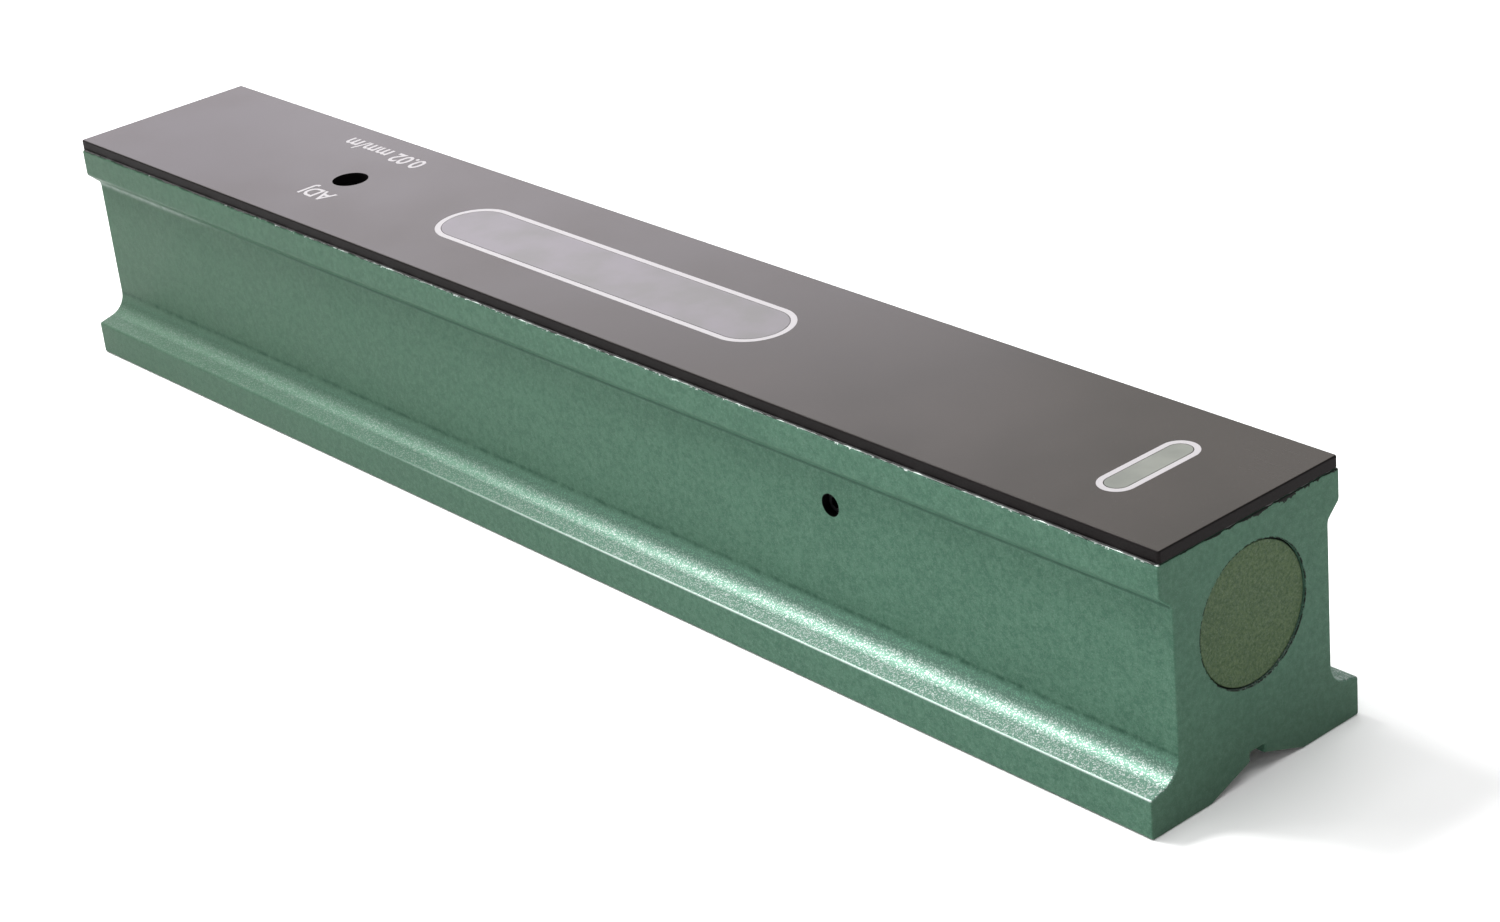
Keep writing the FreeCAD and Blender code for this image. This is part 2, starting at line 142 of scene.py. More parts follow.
def turned_surface(along: np.ndarray, radius: np.ndarray, around: int) -> Surface:
    """Surface of a piece turned about X.

    Formula: for a profile (x, r) and an angle a, the point is (x, r sin a, r cos a). The profile
    starts and ends on the axis, so the surface is closed.

    Args:
        along: Profile's places along X.
        radius: Profile's radii.
        around: Number of points round the axis.

    Returns:
        Points and faces.
    """
    angle = np.linspace(0, 2 * pi, around, endpoint=False)[None, :]
    x = along[:, None] + 0 * angle
    points = np.stack([x, radius[:, None] * np.sin(angle), radius[:, None] * np.cos(angle)], axis=-1)
    return points, grid_faces(len(along), around, False, True)


def stadium_path(
    size_x: float, size_y: float, centre_x: float, count: int
) -> tuple[np.ndarray, np.ndarray]:
    """Closed path round a stadium, with the outward direction at each point.

    Formula: a circle of the half width, whose two halves are pulled apart along the longer side:
    point = centre + r (cos a, sin a) + h, where h is plus or minus half the straight length on the
    side that the direction points to.

    Args:
        size_x: Size along X.
        size_y: Size along Y.
        centre_x: Place of the centre along X.
        count: Number of points round the path.

    Returns:
        Points in the plane and unit outward directions.
    """
    radius = min(size_x, size_y) / 2
    half_straight = (max(size_x, size_y) - 2 * radius) / 2
    angle = (np.arange(count) + 0.5) * 2 * pi / count
    outward = np.stack([np.cos(angle), np.sin(angle)], axis=-1)
    pull = np.zeros_like(outward)
    longer = 0 if size_x > size_y else 1
    pull[:, longer] = np.sign(outward[:, longer]) * half_straight
    return outward * radius + pull + np.array([centre_x, 0.0]), outward


def flat_band(
    path: np.ndarray, outward: np.ndarray, width: float, low_z: float, high_z: float
) -> Surface:
    """Thin closed band that follows a path in the plane, as printed ink does.

    Formula: a rectangle from the path to path + width x outward and from low_z to high_z, carried
    round the path.

    Args:
        path: Points of the inner edge.
        outward: Unit outward directions at those points.
        width: Width of the band.
        low_z: Height of its underside.
        high_z: Height of its top.

    Returns:
        Points and faces.
    """
    reach = np.array([0.0, width, width, 0.0])
    height = np.array([low_z, low_z, high_z, high_z])
    flat = path[:, None, :] + outward[:, None, :] * reach[None, :, None]
    level = np.broadcast_to(height[None, :, None], flat.shape[:2] + (1,))
    points = np.concatenate([flat, level], axis=-1)
    return points, grid_faces(len(path), 4, True, True)


def bubble_surface(
    radius: float, depth: float, half_length: float, rows: int, columns: int
) -> Surface:
    """Skin of a bubble that lies along X under the top of a round bore.

    Formula: at x = L sin(u) the depth is d (1 - |x / L|^6)^(1/2). The upper half of the section is
    the bore's arc over that depth's chord, and the lower half is the chord, bowed up by a twelfth of
    the depth where it meets the glass.

    Args:
        radius: Radius of the bubble's upper side.
        depth: Depth of the bubble at its middle.
        half_length: Half of its length.
        rows: Number of sections along it.
        columns: Number of points round a section, an even number.

    Returns:
        Points about the bore's axis, and faces.
    """
    u = np.linspace(-pi / 2, pi / 2, rows)[:, None]
    x = half_length * np.sin(u)
    local_depth = depth * np.sqrt(np.clip(1 - np.abs(np.sin(u)) ** 6, 0, 1))
    half_angle = np.arccos(np.clip(1 - local_depth / radius, -1, 1))
    t = np.linspace(-1, 1, columns // 2 + 1)[None, :]
    arc_y = radius * np.sin(half_angle * t)
    arc_z = radius * np.cos(half_angle * t)
    back = t[:, ::-1][:, 1:-1]
    floor_y = radius * np.sin(half_angle) * back
    floor_z = radius - local_depth + local_depth / 12 * np.abs(back) ** 4
    y = np.concatenate([arc_y, floor_y], axis=1)
    z = np.concatenate([arc_z, floor_z + 0 * floor_y], axis=1)
    points = np.stack([x + 0 * y, y, z], axis=-1)
    return points, grid_faces(rows, y.shape[1], False, True)


def mark_rings(
    places: np.ndarray, radius: float, half_angle: float, width: float, thickness: float, steps: int
) -> Surface:
    """Graduation lines on top of a glass that lies along X.

    Formula: for each line at place p, with angle a from -A to A about the top and a section of a thin
    rectangle, the point is (p + w, r sin a, r cos a), with w from -width / 2 to width / 2 and r from
    radius to radius + thickness. The section shrinks to a point at both ends of the line.

    Args:
        places: Places of the lines along X.
        radius: Radius of the glass.
        half_angle: Half of the angle that each line spans.
        width: Width of a line.
        thickness: Thickness of the ink.
        steps: Number of sections along a line.

    Returns:
        Points about the glass's axis, and faces.
    """
    t = np.linspace(-1, 1, steps)
    full = (np.abs(t) < 1).astype(float)[None, :, None]
    angle = np.broadcast_to(half_angle * t, (len(places), steps))[:, :, None]
    side = np.array([-0.5, 0.5, 0.5, -0.5])[None, None, :] * width * full
    rise = np.array([0.0, 0.0, 1.0, 1.0])[None, None, :] * thickness * full
    x = places[:, None, None] + side + 0 * angle
    r = radius + rise
    points = np.stack([x, r * np.sin(angle), r * np.cos(angle)], axis=-1)
    one = grid_faces(steps, 4, False, True)
    shift = np.arange(len(places))[:, None, None] * steps * 4
    return points.reshape(-1, 3), (one[None] + shift).reshape(-1, 4)


def squeezed_bead(
    start: Vector, end: Vector, out: Vector, down: Vector, reach: float, drop: float, seed: int
) -> Surface:
    """Bead of adhesive squeezed out along a straight joint.

    Formula: a quarter-round section, out (reach x g) cos a + down (drop x h) sin a, carried from
    start to end, where g and h are sums of five sine waves of the distance, lifted so that they stay
    above a small floor. The section closes to a point at both ends.

    Args:
        start: One end of the joint.
        end: Its other end.
        out: Unit direction away from the joint.
        down: Unit direction in which the bead hangs.
        reach: Mean reach along out.
        drop: Mean reach along down.
        seed: Seed of the waves' phases.

    Returns:
        Points and faces.
    """
    draw = np.random.default_rng(seed)
    length = (end - start).length
    section_step = 0.35 * MM
    wave_length = 24 * MM
    count = max(12, int(length / section_step))
    t = np.linspace(0, 1, count)
    waves = np.array([1.7, 2.9, 5.3, 9.1, 17.3])[:, None] * length / wave_length
    sizes = np.array([0.5, 0.45, 0.35, 0.3, 0.2])[:, None]
    lift = [
        (sizes * np.sin(2 * pi * waves * t + draw.uniform(0, 2 * pi, (5, 1)))).sum(axis=0)
        for _ in range(2)
    ]
    closing = np.clip(np.minimum(t, 1 - t) * count / 2, 0, 1)
    g = np.clip(0.85 + 0.45 * lift[0], 0.15, 1.0) * closing
    h = np.clip(0.45 + 0.6 * lift[1], 0.05, 1.6) * closing
    angle = np.linspace(0, pi / 2, 6)
    axis = np.array(start)[None, :] + t[:, None] * np.array(end - start)[None, :]
    arc_out = np.concatenate([[0.0], np.cos(angle)])
    arc_down = np.concatenate([[0.0], np.sin(angle)])
    points = (
        axis[:, None, :]
        + (reach * g)[:, None, None] * arc_out[None, :, None] * np.array(out)
        + (drop * h)[:, None, None] * arc_down[None, :, None] * np.array(down)
    )
    return points, grid_faces(count, len(arc_out), False, True)


# ---- node building --------------------------------------------------------------------------


class Recipe:
    """A material's node tree, with short methods for the patterns that the finishes share."""

    def __init__(self, name: str) -> None:
        """Start a material with one Principled shader on its output.

        Args:
            name: Name of the material.
        """
        self.material = bpy.data.materials.new(name)
        self.material.use_nodes = True
        self.tree = self.material.node_tree
        self.tree.nodes.clear()
        self.output = self.tree.nodes.new("ShaderNodeOutputMaterial")
        self.shader = self.tree.nodes.new("ShaderNodeBsdfPrincipled")
        self.tree.links.new(self.shader.outputs["BSDF"], self.output.inputs["Surface"])
        self.place = self.tree.nodes.new("ShaderNodeTexCoord").outputs["Object"]

    def set(self, **values: float | Colour | Socket) -> None:
        """Set or link the shader's sockets.

        Args:
            **values: Socket names, with underscores for spaces, and their values or sources.
        """
        for key, value in values.items():
            self.feed(self.shader.inputs[key.replace("_", " ")], value)

    def feed(self, socket: Socket, value: float | Colour | Socket) -> None:
        """Link a source to a socket, or set the socket's own value.

        Args:
            socket: Socket that receives it.
            value: Source, colour or number.
        """
        if isinstance(value, bpy.types.NodeSocket):
            self.tree.links.new(value, socket)
        elif isinstance(value, tuple) and len(socket.default_value) == 4:
            socket.default_value = (*value, 1.0)
        else:
            socket.default_value = value

    def math(self, operation: str, *values: float | Socket) -> Socket:
        """Result of a Math node.

        Args:
            operation: Name of the operation.
            *values: Its operands.

        Returns:
            The result's socket.
        """
        node = self.tree.nodes.new("ShaderNodeMath")
        node.operation = operation
        for socket, value in zip(node.inputs, values):
            self.feed(socket, value)
        return node.outputs[0]

    def stretched(self, scale: Place) -> Socket:
        """Object coordinates, scaled along each axis.

        Args:
            scale: Scale along each axis.

        Returns:
            The scaled coordinates.
        """
        node = self.tree.nodes.new("ShaderNodeMapping")
        self.feed(node.inputs["Vector"], self.place)
        node.inputs["Scale"].default_value = scale
        return node.outputs[0]

    def parts(self, vector: Socket) -> list[Socket]:
        """The three components of a vector.

        Args:
            vector: The vector.

        Returns:
            Its components.
        """
        node = self.tree.nodes.new("ShaderNodeSeparateXYZ")
        self.feed(node.inputs[0], vector)
        return list(node.outputs)

    @cached_property
    def axes(self) -> list[Socket]:
        """The three Object coordinates in metres."""
        return self.parts(self.place)

    @cached_property
    def along(self) -> Socket:
        """Distance from the middle of the bar's length."""
        return self.math("ABSOLUTE", self.axes[0])

    @cached_property
    def across(self) -> Socket:
        """Distance from the bar's middle plane."""
        return self.math("ABSOLUTE", self.axes[1])

    @cached_property
    def upward(self) -> Socket:
        """How far the surface faces up, 1 on a top and -1 on an underside."""
        geometry = self.tree.nodes.new("ShaderNodeNewGeometry")
        return self.parts(geometry.outputs["Normal"])[2]

    def noise(
        self, size: float, detail: float = 2.0, roughness: float = 0.5, stretch: Place = (1, 1, 1)
    ) -> Socket:
        """Cloudy pattern.

        Args:
            size: Size of a cloud, in metres.
            detail: Number of finer layers.
            roughness: Strength of the finer layers.
            stretch: Scale along each axis; a small number draws the pattern out.

        Returns:
            The pattern, about 0.3 to 0.7.
        """
        node = self.tree.nodes.new("ShaderNodeTexNoise")
        place = self.stretched(stretch) if stretch != (1, 1, 1) else self.place
        self.feed(node.inputs["Vector"], place)
        node.inputs["Scale"].default_value = 1 / size
        node.inputs["Detail"].default_value = detail
        node.inputs["Roughness"].default_value = roughness
        return node.outputs["Fac"]

    def flecks(self, size: float) -> list[Socket]:
        """Cells that each have three random numbers, 0 to 1, as flakes in a paint do.

        Args:
            size: Size of a cell, in metres.

        Returns:
            The sockets of the three numbers.
        """
        node = self.tree.nodes.new("ShaderNodeTexVoronoi")
        self.feed(node.inputs["Vector"], self.place)
        node.inputs["Scale"].default_value = 1 / size
        split = self.tree.nodes.new("ShaderNodeSeparateColor")
        self.feed(split.inputs[0], node.outputs["Color"])
        return list(split.outputs)

    def ramp(self, value: Socket, low: float, high: float, smooth: bool = True) -> Socket:
        """Mask that rises from 0 to 1 as a value goes from low to high.

        Args:
            value: The value.
            low: Where the mask is 0, less or more than high.
            high: Where it is 1.
            smooth: Whether it eases in and out.

        Returns:
            The mask.
        """
        node = self.tree.nodes.new("ShaderNodeMapRange")
        node.interpolation_type = "SMOOTHSTEP" if smooth else "LINEAR"
        self.feed(node.inputs["Value"], value)
        node.inputs["From Min"].default_value = low
        node.inputs["From Max"].default_value = high
        return node.outputs["Result"]

    def between(self, value: Socket, low: float, high: float, blur: float) -> Socket:
        """Mask that is 1 where a value lies between low and high."""
        rise = self.ramp(value, low - blur, low + blur)
        return self.math("MULTIPLY", rise, self.ramp(value, high + blur, high - blur))

    def share(self, mask: Socket, amount: float) -> Socket:
        """A mask made weaker."""
        return self.math("MULTIPLY", mask, amount)

    def either(self, *masks: Socket) -> Socket:
        """Mask that is 1 where any of the masks is.

        Args:
            *masks: The masks.

        Returns:
            The greatest of them.
        """
        result = masks[0]
        for mask in masks[1:]:
            result = self.math("MAXIMUM", result, mask)
        return result

    def both(self, *masks: Socket) -> Socket:
        """Mask that is 1 where all the masks are.

        Args:
            *masks: The masks.

        Returns:
            Their product.
        """
        result = masks[0]
        for mask in masks[1:]:
            result = self.math("MULTIPLY", result, mask)
        return result

    def mix(self, mask: Socket, first: Colour | Socket, second: Colour | Socket) -> Socket:
        """Blend of two colours.

        Args:
            mask: 0 for the first colour, 1 for the second.
            first: First colour.
            second: Second colour.

        Returns:
            The blended colour.
        """
        node = self.tree.nodes.new("ShaderNodeMix")
        node.data_type = "RGBA"
        self.feed(node.inputs["Factor"], mask)
        self.feed(node.inputs[6], first)
        self.feed(node.inputs[7], second)
        return node.outputs[2]

    def slide(self, mask: Socket, first: float | Socket, second: float | Socket) -> Socket:
        """Blend of two numbers.

        Args:
            mask: 0 for the first number, 1 for the second.
            first: First number.
            second: Second number.

        Returns:
            The blended number.
        """
        node = self.tree.nodes.new("ShaderNodeMix")
        node.data_type = "FLOAT"
        self.feed(node.inputs["Factor"], mask)
        self.feed(node.inputs[2], first)
        self.feed(node.inputs[3], second)
        return node.outputs[0]

    def bump(self, height: Socket, depth: float, below: Socket | None = None) -> Socket:
        """Surface direction after a relief.

        Args:
            height: Relief, 0 to 1.
            depth: Depth of the relief, in metres.
            below: Direction from a coarser relief that this one lies on.

        Returns:
            The new direction.
        """
        node = self.tree.nodes.new("ShaderNodeBump")
        self.feed(node.inputs["Height"], height)
        node.inputs["Distance"].default_value = depth
        if below is not None:
            self.feed(node.inputs["Normal"], below)
        return node.outputs["Normal"]

    def edge_on(self, low: float, high: float) -> Socket:
        """Mask for gloss and glass that rises as the surface is seen edge on."""
        node = self.tree.nodes.new("ShaderNodeLayerWeight")
        return self.ramp(node.outputs["Facing"], low, high)

    def radius_about(self, axis: Axis, centre: Sequence[float]) -> Socket:
        """Distance from a line along an axis.

        Args:
            axis: The axis that the line is parallel to.
            centre: A point of the line.

        Returns:
            The distance in metres.
        """
        node = self.tree.nodes.new("ShaderNodeVectorMath")
        node.operation = "SUBTRACT"
        self.feed(node.inputs[0], self.place)
        node.inputs[1].default_value = centre
        one, two = [part for i, part in enumerate(self.parts(node.outputs[0])) if i != axis.value]
        squares = self.math("ADD", self.math("POWER", one, 2.0), self.math("POWER", two, 2.0))
        return self.math("SQRT", squares)


# ---- finishes -------------------------------------------------------------------------------


@dataclass(frozen=True)
class HammeredPaint:
    """Metallic paint with a fine leathery grain and bright flakes."""

    name: str = "green_paint"
    light: Colour = (0.087, 0.187, 0.129)
    dark: Colour = (0.059, 0.140, 0.094)
    fleck: Colour = (0.55, 0.66, 0.60)
    fleck_share: float = 0.06
    cloud: float = 14 * MM
    grain: float = 0.9 * MM
    grain_depth: float = 0.022 * MM
    flake: float = 0.17 * MM
    flake_depth: float = 0.014 * MM
    metallic: float = 0.10
    roughness: float = 0.38
    shine: float = 0.05

    def coat(self, recipe: Recipe) -> tuple[Socket, Socket, Socket, Socket]:
        """Colour, roughness and direction of the paint before any wear.

        Args:
            recipe: Material that is being built.

        Returns:
            Colour, roughness, surface direction, and 1 on the brightest flakes.
        """
        clouds = recipe.noise(self.cloud, detail=3)
        mottle = recipe.noise(self.grain, detail=2, roughness=0.6)
        brightness, lean, _ = recipe.flecks(self.flake)
        tone = recipe.math("ADD", recipe.share(mottle, 0.75), recipe.share(clouds, 0.25))
        colour = recipe.mix(recipe.ramp(tone, 0.34, 0.66), self.dark, self.light)
        flakes = recipe.ramp(brightness, 0.55, 1.0)
        colour = recipe.mix(recipe.share(flakes, self.fleck_share), colour, self.fleck)
        coarse = recipe.bump(recipe.noise(self.grain * 2.2, detail=1), self.grain_depth * 1.6)
        fine = recipe.bump(mottle, self.grain_depth, coarse)
        direction = recipe.bump(lean, self.flake_depth, fine)
        duller = recipe.ramp(clouds, 0.3, 0.7)
        gloss = recipe.slide(duller, self.roughness - 0.04, self.roughness + 0.06)
        return colour, gloss, direction, flakes


@dataclass(frozen=True)
class BodyPaint(HammeredPaint):
    """Paint of the cast body: flakes settled on what faces up under a painted highlight, ground lands
    below, worn edges with painted highlights, painted shade in corners, round the plugs, in the screw
    hole, low on the end faces and towards the far end.
    """

    # Lighter flake colours painted on up-facing paint as a painted highlight.
    highlight_flake_dark: Colour = (0.125, 0.225, 0.175)
    highlight_flake_steep: Colour = (0.18, 0.42, 0.29)
    highlight_flake_top: Colour = (0.49, 0.52, 0.51)
    highlight_share: float = 0.9
    settled_metallic: float = 0.66
    settled_roughness: float = 0.46
    # Painted shade towards the far end.
    far_end_painted_shade: Colour = (0.058, 0.098, 0.064)
    far_end_shade_share: float = 0.62
    # Lighter colour for the painted highlights along the edges, for chips, and for patches under the
    # far ledge.
    worn_and_highlight: Colour = (0.78, 0.84, 0.82)
    worn_and_highlight_share: float = 0.9
    foot_highlight: float = 0.5
    far_ledge_lighter_share: float = 0.20
    # Painted shade in the corners.
    corner_shade: Colour = (0.02, 0.06, 0.04)
    corner_shade_share: float = 0.6
    # Painted shade towards the bottom of the end faces.
    end_low_shade: Colour = (0.046, 0.078, 0.052)
    soot: Colour = (0.030, 0.070, 0.046)
    soot_share: float = 0.30
    # Colour of the adhesive, also used for the painted shade round the plugs.
    glue: Colour = (0.012, 0.013, 0.012)
    glue_roughness: float = 0.55
    ground_light: Colour = (0.52, 0.52, 0.51)
    ground_dark: Colour = (0.30, 0.30, 0.29)
    stain: Colour = (0.16, 0.14, 0.12)
    ground_roughness: float = 0.34
    bare_metallic: float = 0.9
    inside_dark: Colour = (0.05, 0.05, 0.05)
    inside_light: Colour = (0.11, 0.105, 0.10)
    # Painted shade in the screw hole.
    hole_shade: Colour = (0.004, 0.004, 0.004)
    half_length: float = 0.15
    ledge_z: float = 38.2 * MM
    top_z: float = 44.77 * MM
    band_half: float = 20.3 * MM
    base_half: float = 24.0 * MM
    flange_z: float = 6.8 * MM
    fillet_top_z: float = 11.8 * MM
    vee_top_z: float = 3.3 * MM
    bore_radius: float = 12.0 * MM
    screw_centre: Place = (76.0 * MM, 0.0, 30.6 * MM)
    screw_radius: float = 2.0 * MM

    def settled_flakes_and_highlight(self, recipe: Recipe) -> Socket:
        """Mask of the paint whose flakes lie flat, which also carries a painted highlight: what faces
        up, more so towards the right end.

        Args:
            recipe: Material that is being built.

        Returns:
            The mask.
        """
        x, _, z = recipe.axes
        outer = recipe.ramp(recipe.across, self.base_half - 0.5 * MM, self.base_half - 0.2 * MM)
        # The same mask lightens the colour as a painted highlight, stronger towards the right end and
        # weaker at the flange's outer edge.
        return recipe.both(
            recipe.ramp(recipe.upward, 0.03, 0.40),
            recipe.ramp(z, self.top_z - 0.2 * MM, self.top_z - 0.5 * MM),
            recipe.slide(recipe.ramp(x, -50 * MM, 70 * MM), 0.50, 1.0),
            recipe.slide(outer, 1.0, 0.35))

    def worn_and_highlit_edges(self, recipe: Recipe, patches: Socket, chips: Socket) -> Socket:
        """Mask of the lighter paint: a painted highlight with chips along the top edges, a painted
        highlight along the foot's edges, and lighter patches under the far ledge.

        Args:
            recipe: Material that is being built.
            patches: Pattern of larger patches that breaks the lines up.
            chips: Pattern of the small chips.

        Returns:
            The mask.
        """
        x, _, z = recipe.axes
        chipped = recipe.share(recipe.ramp(chips, 0.56, 0.66), 0.25 * MM)
        near_end_highlight = recipe.share(recipe.ramp(x, -120 * MM, 70 * MM, smooth=False), 0.42)
        # Painted highlight along the band's top front edge, broken by chips, continuous towards the
        # near end.
        top_edge_highlight_and_chips = recipe.both(
            recipe.math("GREATER_THAN", recipe.math("ADD", z, chipped), self.top_z - 0.16 * MM),
            recipe.ramp(recipe.across, self.band_half - 0.7 * MM, self.band_half - 0.3 * MM),
            recipe.ramp(recipe.math("ADD", patches, near_end_highlight), 0.60, 0.70))
        # Painted highlight along the foot's outer top edge, fading towards the far end.
        foot_edge_highlight = recipe.both(
            recipe.between(z, self.flange_z - 0.15 * MM, self.flange_z + 0.15 * MM, 0.1 * MM),
            recipe.ramp(recipe.across, self.base_half - 0.4 * MM, self.base_half - 0.15 * MM),
            recipe.ramp(x, -70 * MM, 40 * MM))
        # Lighter patches just under the ledge near the far end.
        far_ledge = recipe.both(
            recipe.between(z, self.ledge_z - 2.0 * MM, self.ledge_z - 0.9 * MM, 0.5 * MM),
            recipe.ramp(x, -104 * MM, -124 * MM),
            recipe.ramp(patches, 0.20, 0.60))
        return recipe.either(
            top_edge_highlight_and_chips, recipe.share(foot_edge_highlight, self.foot_highlight), recipe.share(far_ledge, self.far_ledge_lighter_share))

    def corner_painted_shade(self, recipe: Recipe, patches: Socket) -> Socket:
        """Mask of the painted shade in the corners under the ledge and at the top of the foot's fillet.

        Args:
            recipe: Material that is being built.
            patches: Pattern of larger patches that breaks the fillet's line up.

        Returns:
            The mask.
        """
        x, _, z = recipe.axes
        off_ends = recipe.ramp(recipe.along, self.half_length - 0.2 * MM, self.half_length - 0.5 * MM)
        under_ledge_shade = recipe.both(
            recipe.between(z, self.ledge_z - 1.75 * MM, self.ledge_z - 1.0 * MM, 0.15 * MM),
            recipe.ramp(x, -115 * MM, -60 * MM))
        fillet_top_shade = recipe.both(
            recipe.between(z, self.fillet_top_z - 0.4 * MM, self.fillet_top_z + 0.4 * MM, 0.4 * MM),
            recipe.ramp(patches, 0.35, 0.65))
        return recipe.both(recipe.either(under_ledge_shade, fillet_top_shade), off_ends)

    def glue_and_gap_shade(self, recipe: Recipe, ends: Socket, chips: Socket) -> Socket:
        """Mask of the black on the end faces: a ring of painted shade round the plug's gap, and drips
        of adhesive from the plate.

        Args:
            recipe: Material that is being built.
            ends: Mask of the end faces.
            chips: Pattern that breaks the ring up.

        Returns:
            The mask.
        """
        _, y, z = recipe.axes
        radius = recipe.radius_about(Axis.X, BORE_CENTRE)
        # Painted shade: a broken near-black ring just outside the bore's edge, in the gap round the
        # plug.
        gap_shade_ring = recipe.both(
            ends, recipe.ramp(radius, self.bore_radius + 0.24 * MM, self.bore_radius + 0.05 * MM),
            recipe.ramp(chips, 0.44, 0.52))
        lumps = recipe.ramp(recipe.noise(2.6 * MM, detail=5, roughness=0.7), 0.38, 0.75)
        length = recipe.slide(recipe.ramp(y, -12 * MM, 12 * MM), 0.3 * MM, 1.25 * MM)
        reach = recipe.math("ADD", z, recipe.math("MULTIPLY", lumps, length))
        drips = recipe.both(ends, recipe.math("GREATER_THAN", reach, self.top_z - 0.1 * MM))
        return recipe.either(gap_shade_ring, drips)

    def end_shade_and_soot(self, recipe: Recipe, colour: Socket, ends: Socket) -> Socket:
        """Colour of the paint with painted shade, darker towards the bottom of the end faces, and soot
        spots on it.

        Args:
            recipe: Material that is being built.
            colour: Colour of the clean paint.
            ends: Mask of the end faces.

        Returns:
            The new colour.
        """
        # Painted shade: the end faces darken towards the bottom.
        low_down_shade = recipe.ramp(recipe.axes[2], 17 * MM, 1 * MM, smooth=False)
        colour = recipe.mix(recipe.both(ends, recipe.slide(low_down_shade, 0.30, 0.55)), colour, self.end_low_shade)
        spots = recipe.ramp(recipe.noise(0.45 * MM, detail=2), 0.50, 0.72)
        return recipe.mix(recipe.share(recipe.both(ends, spots), self.soot_share), colour, self.soot)

    def ground_lands(self, recipe: Recipe) -> Socket:
        """Mask of the machined faces of the base and the vee."""
        low = recipe.ramp(recipe.axes[2], self.vee_top_z + 0.2 * MM, self.vee_top_z - 0.05 * MM)
        return recipe.both(recipe.ramp(recipe.upward, -0.6, -0.9), low)

    def bore_wall(self, recipe: Recipe) -> Socket:
        """Mask of the bored inside, which has no paint.

        Args:
            recipe: Material that is being built.

        Returns:
            The mask.
        """
        return recipe.both(
            recipe.ramp(recipe.across, self.bore_radius + 0.1 * MM, self.bore_radius - 0.1 * MM),
            recipe.ramp(recipe.along, self.half_length - 0.6 * MM, self.half_length - 1.0 * MM),
            recipe.ramp(recipe.axes[2], 10 * MM, 12 * MM))

    def build(self) -> bpy.types.Material:
        """Material of the body.

        Returns:
            The material.
        """
        recipe = Recipe(self.name)
        colour, gloss, direction, flakes = self.coat(recipe)
        patches = recipe.noise(2.2 * MM, detail=4, roughness=0.7)
        chips = recipe.noise(0.8 * MM, detail=3, roughness=0.7)

        settled_and_highlight = self.settled_flakes_and_highlight(recipe)
        # Painted highlight: up-facing paint gets lighter flake colours, lightest where it faces most
        # upwards.
        flat = recipe.mix(recipe.ramp(recipe.upward, 0.35, 0.75), self.highlight_flake_steep, self.highlight_flake_top)
        painted_highlight_colour = recipe.mix(flakes, self.highlight_flake_dark, flat)
        colour = recipe.mix(recipe.share(settled_and_highlight, self.highlight_share), colour, painted_highlight_colour)
        # Painted shade: the paint darkens from x = 90 mm towards the far end, which also dims the
        # painted highlight there.
        far_end_shade_ramp = recipe.ramp(recipe.axes[0], 90 * MM, -150 * MM, smooth=False)
        colour = recipe.mix(recipe.share(far_end_shade_ramp, self.far_end_shade_share), colour, self.far_end_painted_shade)
        # Painted highlights along the top and foot edges, with chips, in the lighter edge colour.
        edges = self.worn_and_highlit_edges(recipe, patches, chips)
        colour = recipe.mix(recipe.share(edges, self.worn_and_highlight_share), colour, self.worn_and_highlight)
        # Painted shade under the ledge and at the top of the fillet.
        corner_shade = self.corner_painted_shade(recipe, patches)
        colour = recipe.mix(recipe.share(corner_shade, self.corner_shade_share), colour, self.corner_shade)

        ends = recipe.ramp(recipe.along, self.half_length - 0.3 * MM, self.half_length - 0.05 * MM)
        colour = self.end_shade_and_soot(recipe, colour, ends)
        # Adhesive drips, and the painted shade of the plug's gap, in the adhesive's colour.
        glue = self.glue_and_gap_shade(recipe, ends, chips)
        colour = recipe.mix(glue, colour, self.glue)

        lands = self.ground_lands(recipe)
        stone_marks = recipe.noise(0.35 * MM, detail=3, roughness=0.6, stretch=(0.03, 1, 1))
        steel = recipe.mix(recipe.ramp(stone_marks, 0.3, 0.7), self.ground_dark, self.ground_light)
        steel = recipe.mix(recipe.share(recipe.ramp(patches, 0.6, 0.8), 0.4), steel, self.stain)
        colour = recipe.mix(lands, colour, steel)
        inside = self.bore_wall(recipe)
        bare_wall = recipe.mix(recipe.ramp(patches, 0.3, 0.7), self.inside_dark, self.inside_light)
        colour = recipe.mix(inside, colour, bare_wall)
        # Painted shade: the walls of the pivot screw's hole are painted near black.
        screw_hole_shade = recipe.ramp(
            recipe.radius_about(Axis.Y, self.screw_centre),
            self.screw_radius + 0.06 * MM, self.screw_radius + 0.02 * MM)
        colour = recipe.mix(screw_hole_shade, colour, self.hole_shade)

        rough = recipe.slide(settled_and_highlight, gloss, self.settled_roughness)
        rough = recipe.slide(glue, rough, self.glue_roughness)
        rough = recipe.slide(lands, rough, self.ground_roughness)
        metal = recipe.slide(settled_and_highlight, self.metallic, self.settled_metallic)
        metal = recipe.slide(glue, metal, 0.0)
        metal = recipe.slide(recipe.either(lands, inside), metal, self.bare_metallic)
        recipe.set(Base_Color=colour, Roughness=rough, Metallic=metal, Normal=direction)
        recipe.set(Specular_IOR_Level=self.shine)
        return recipe.material


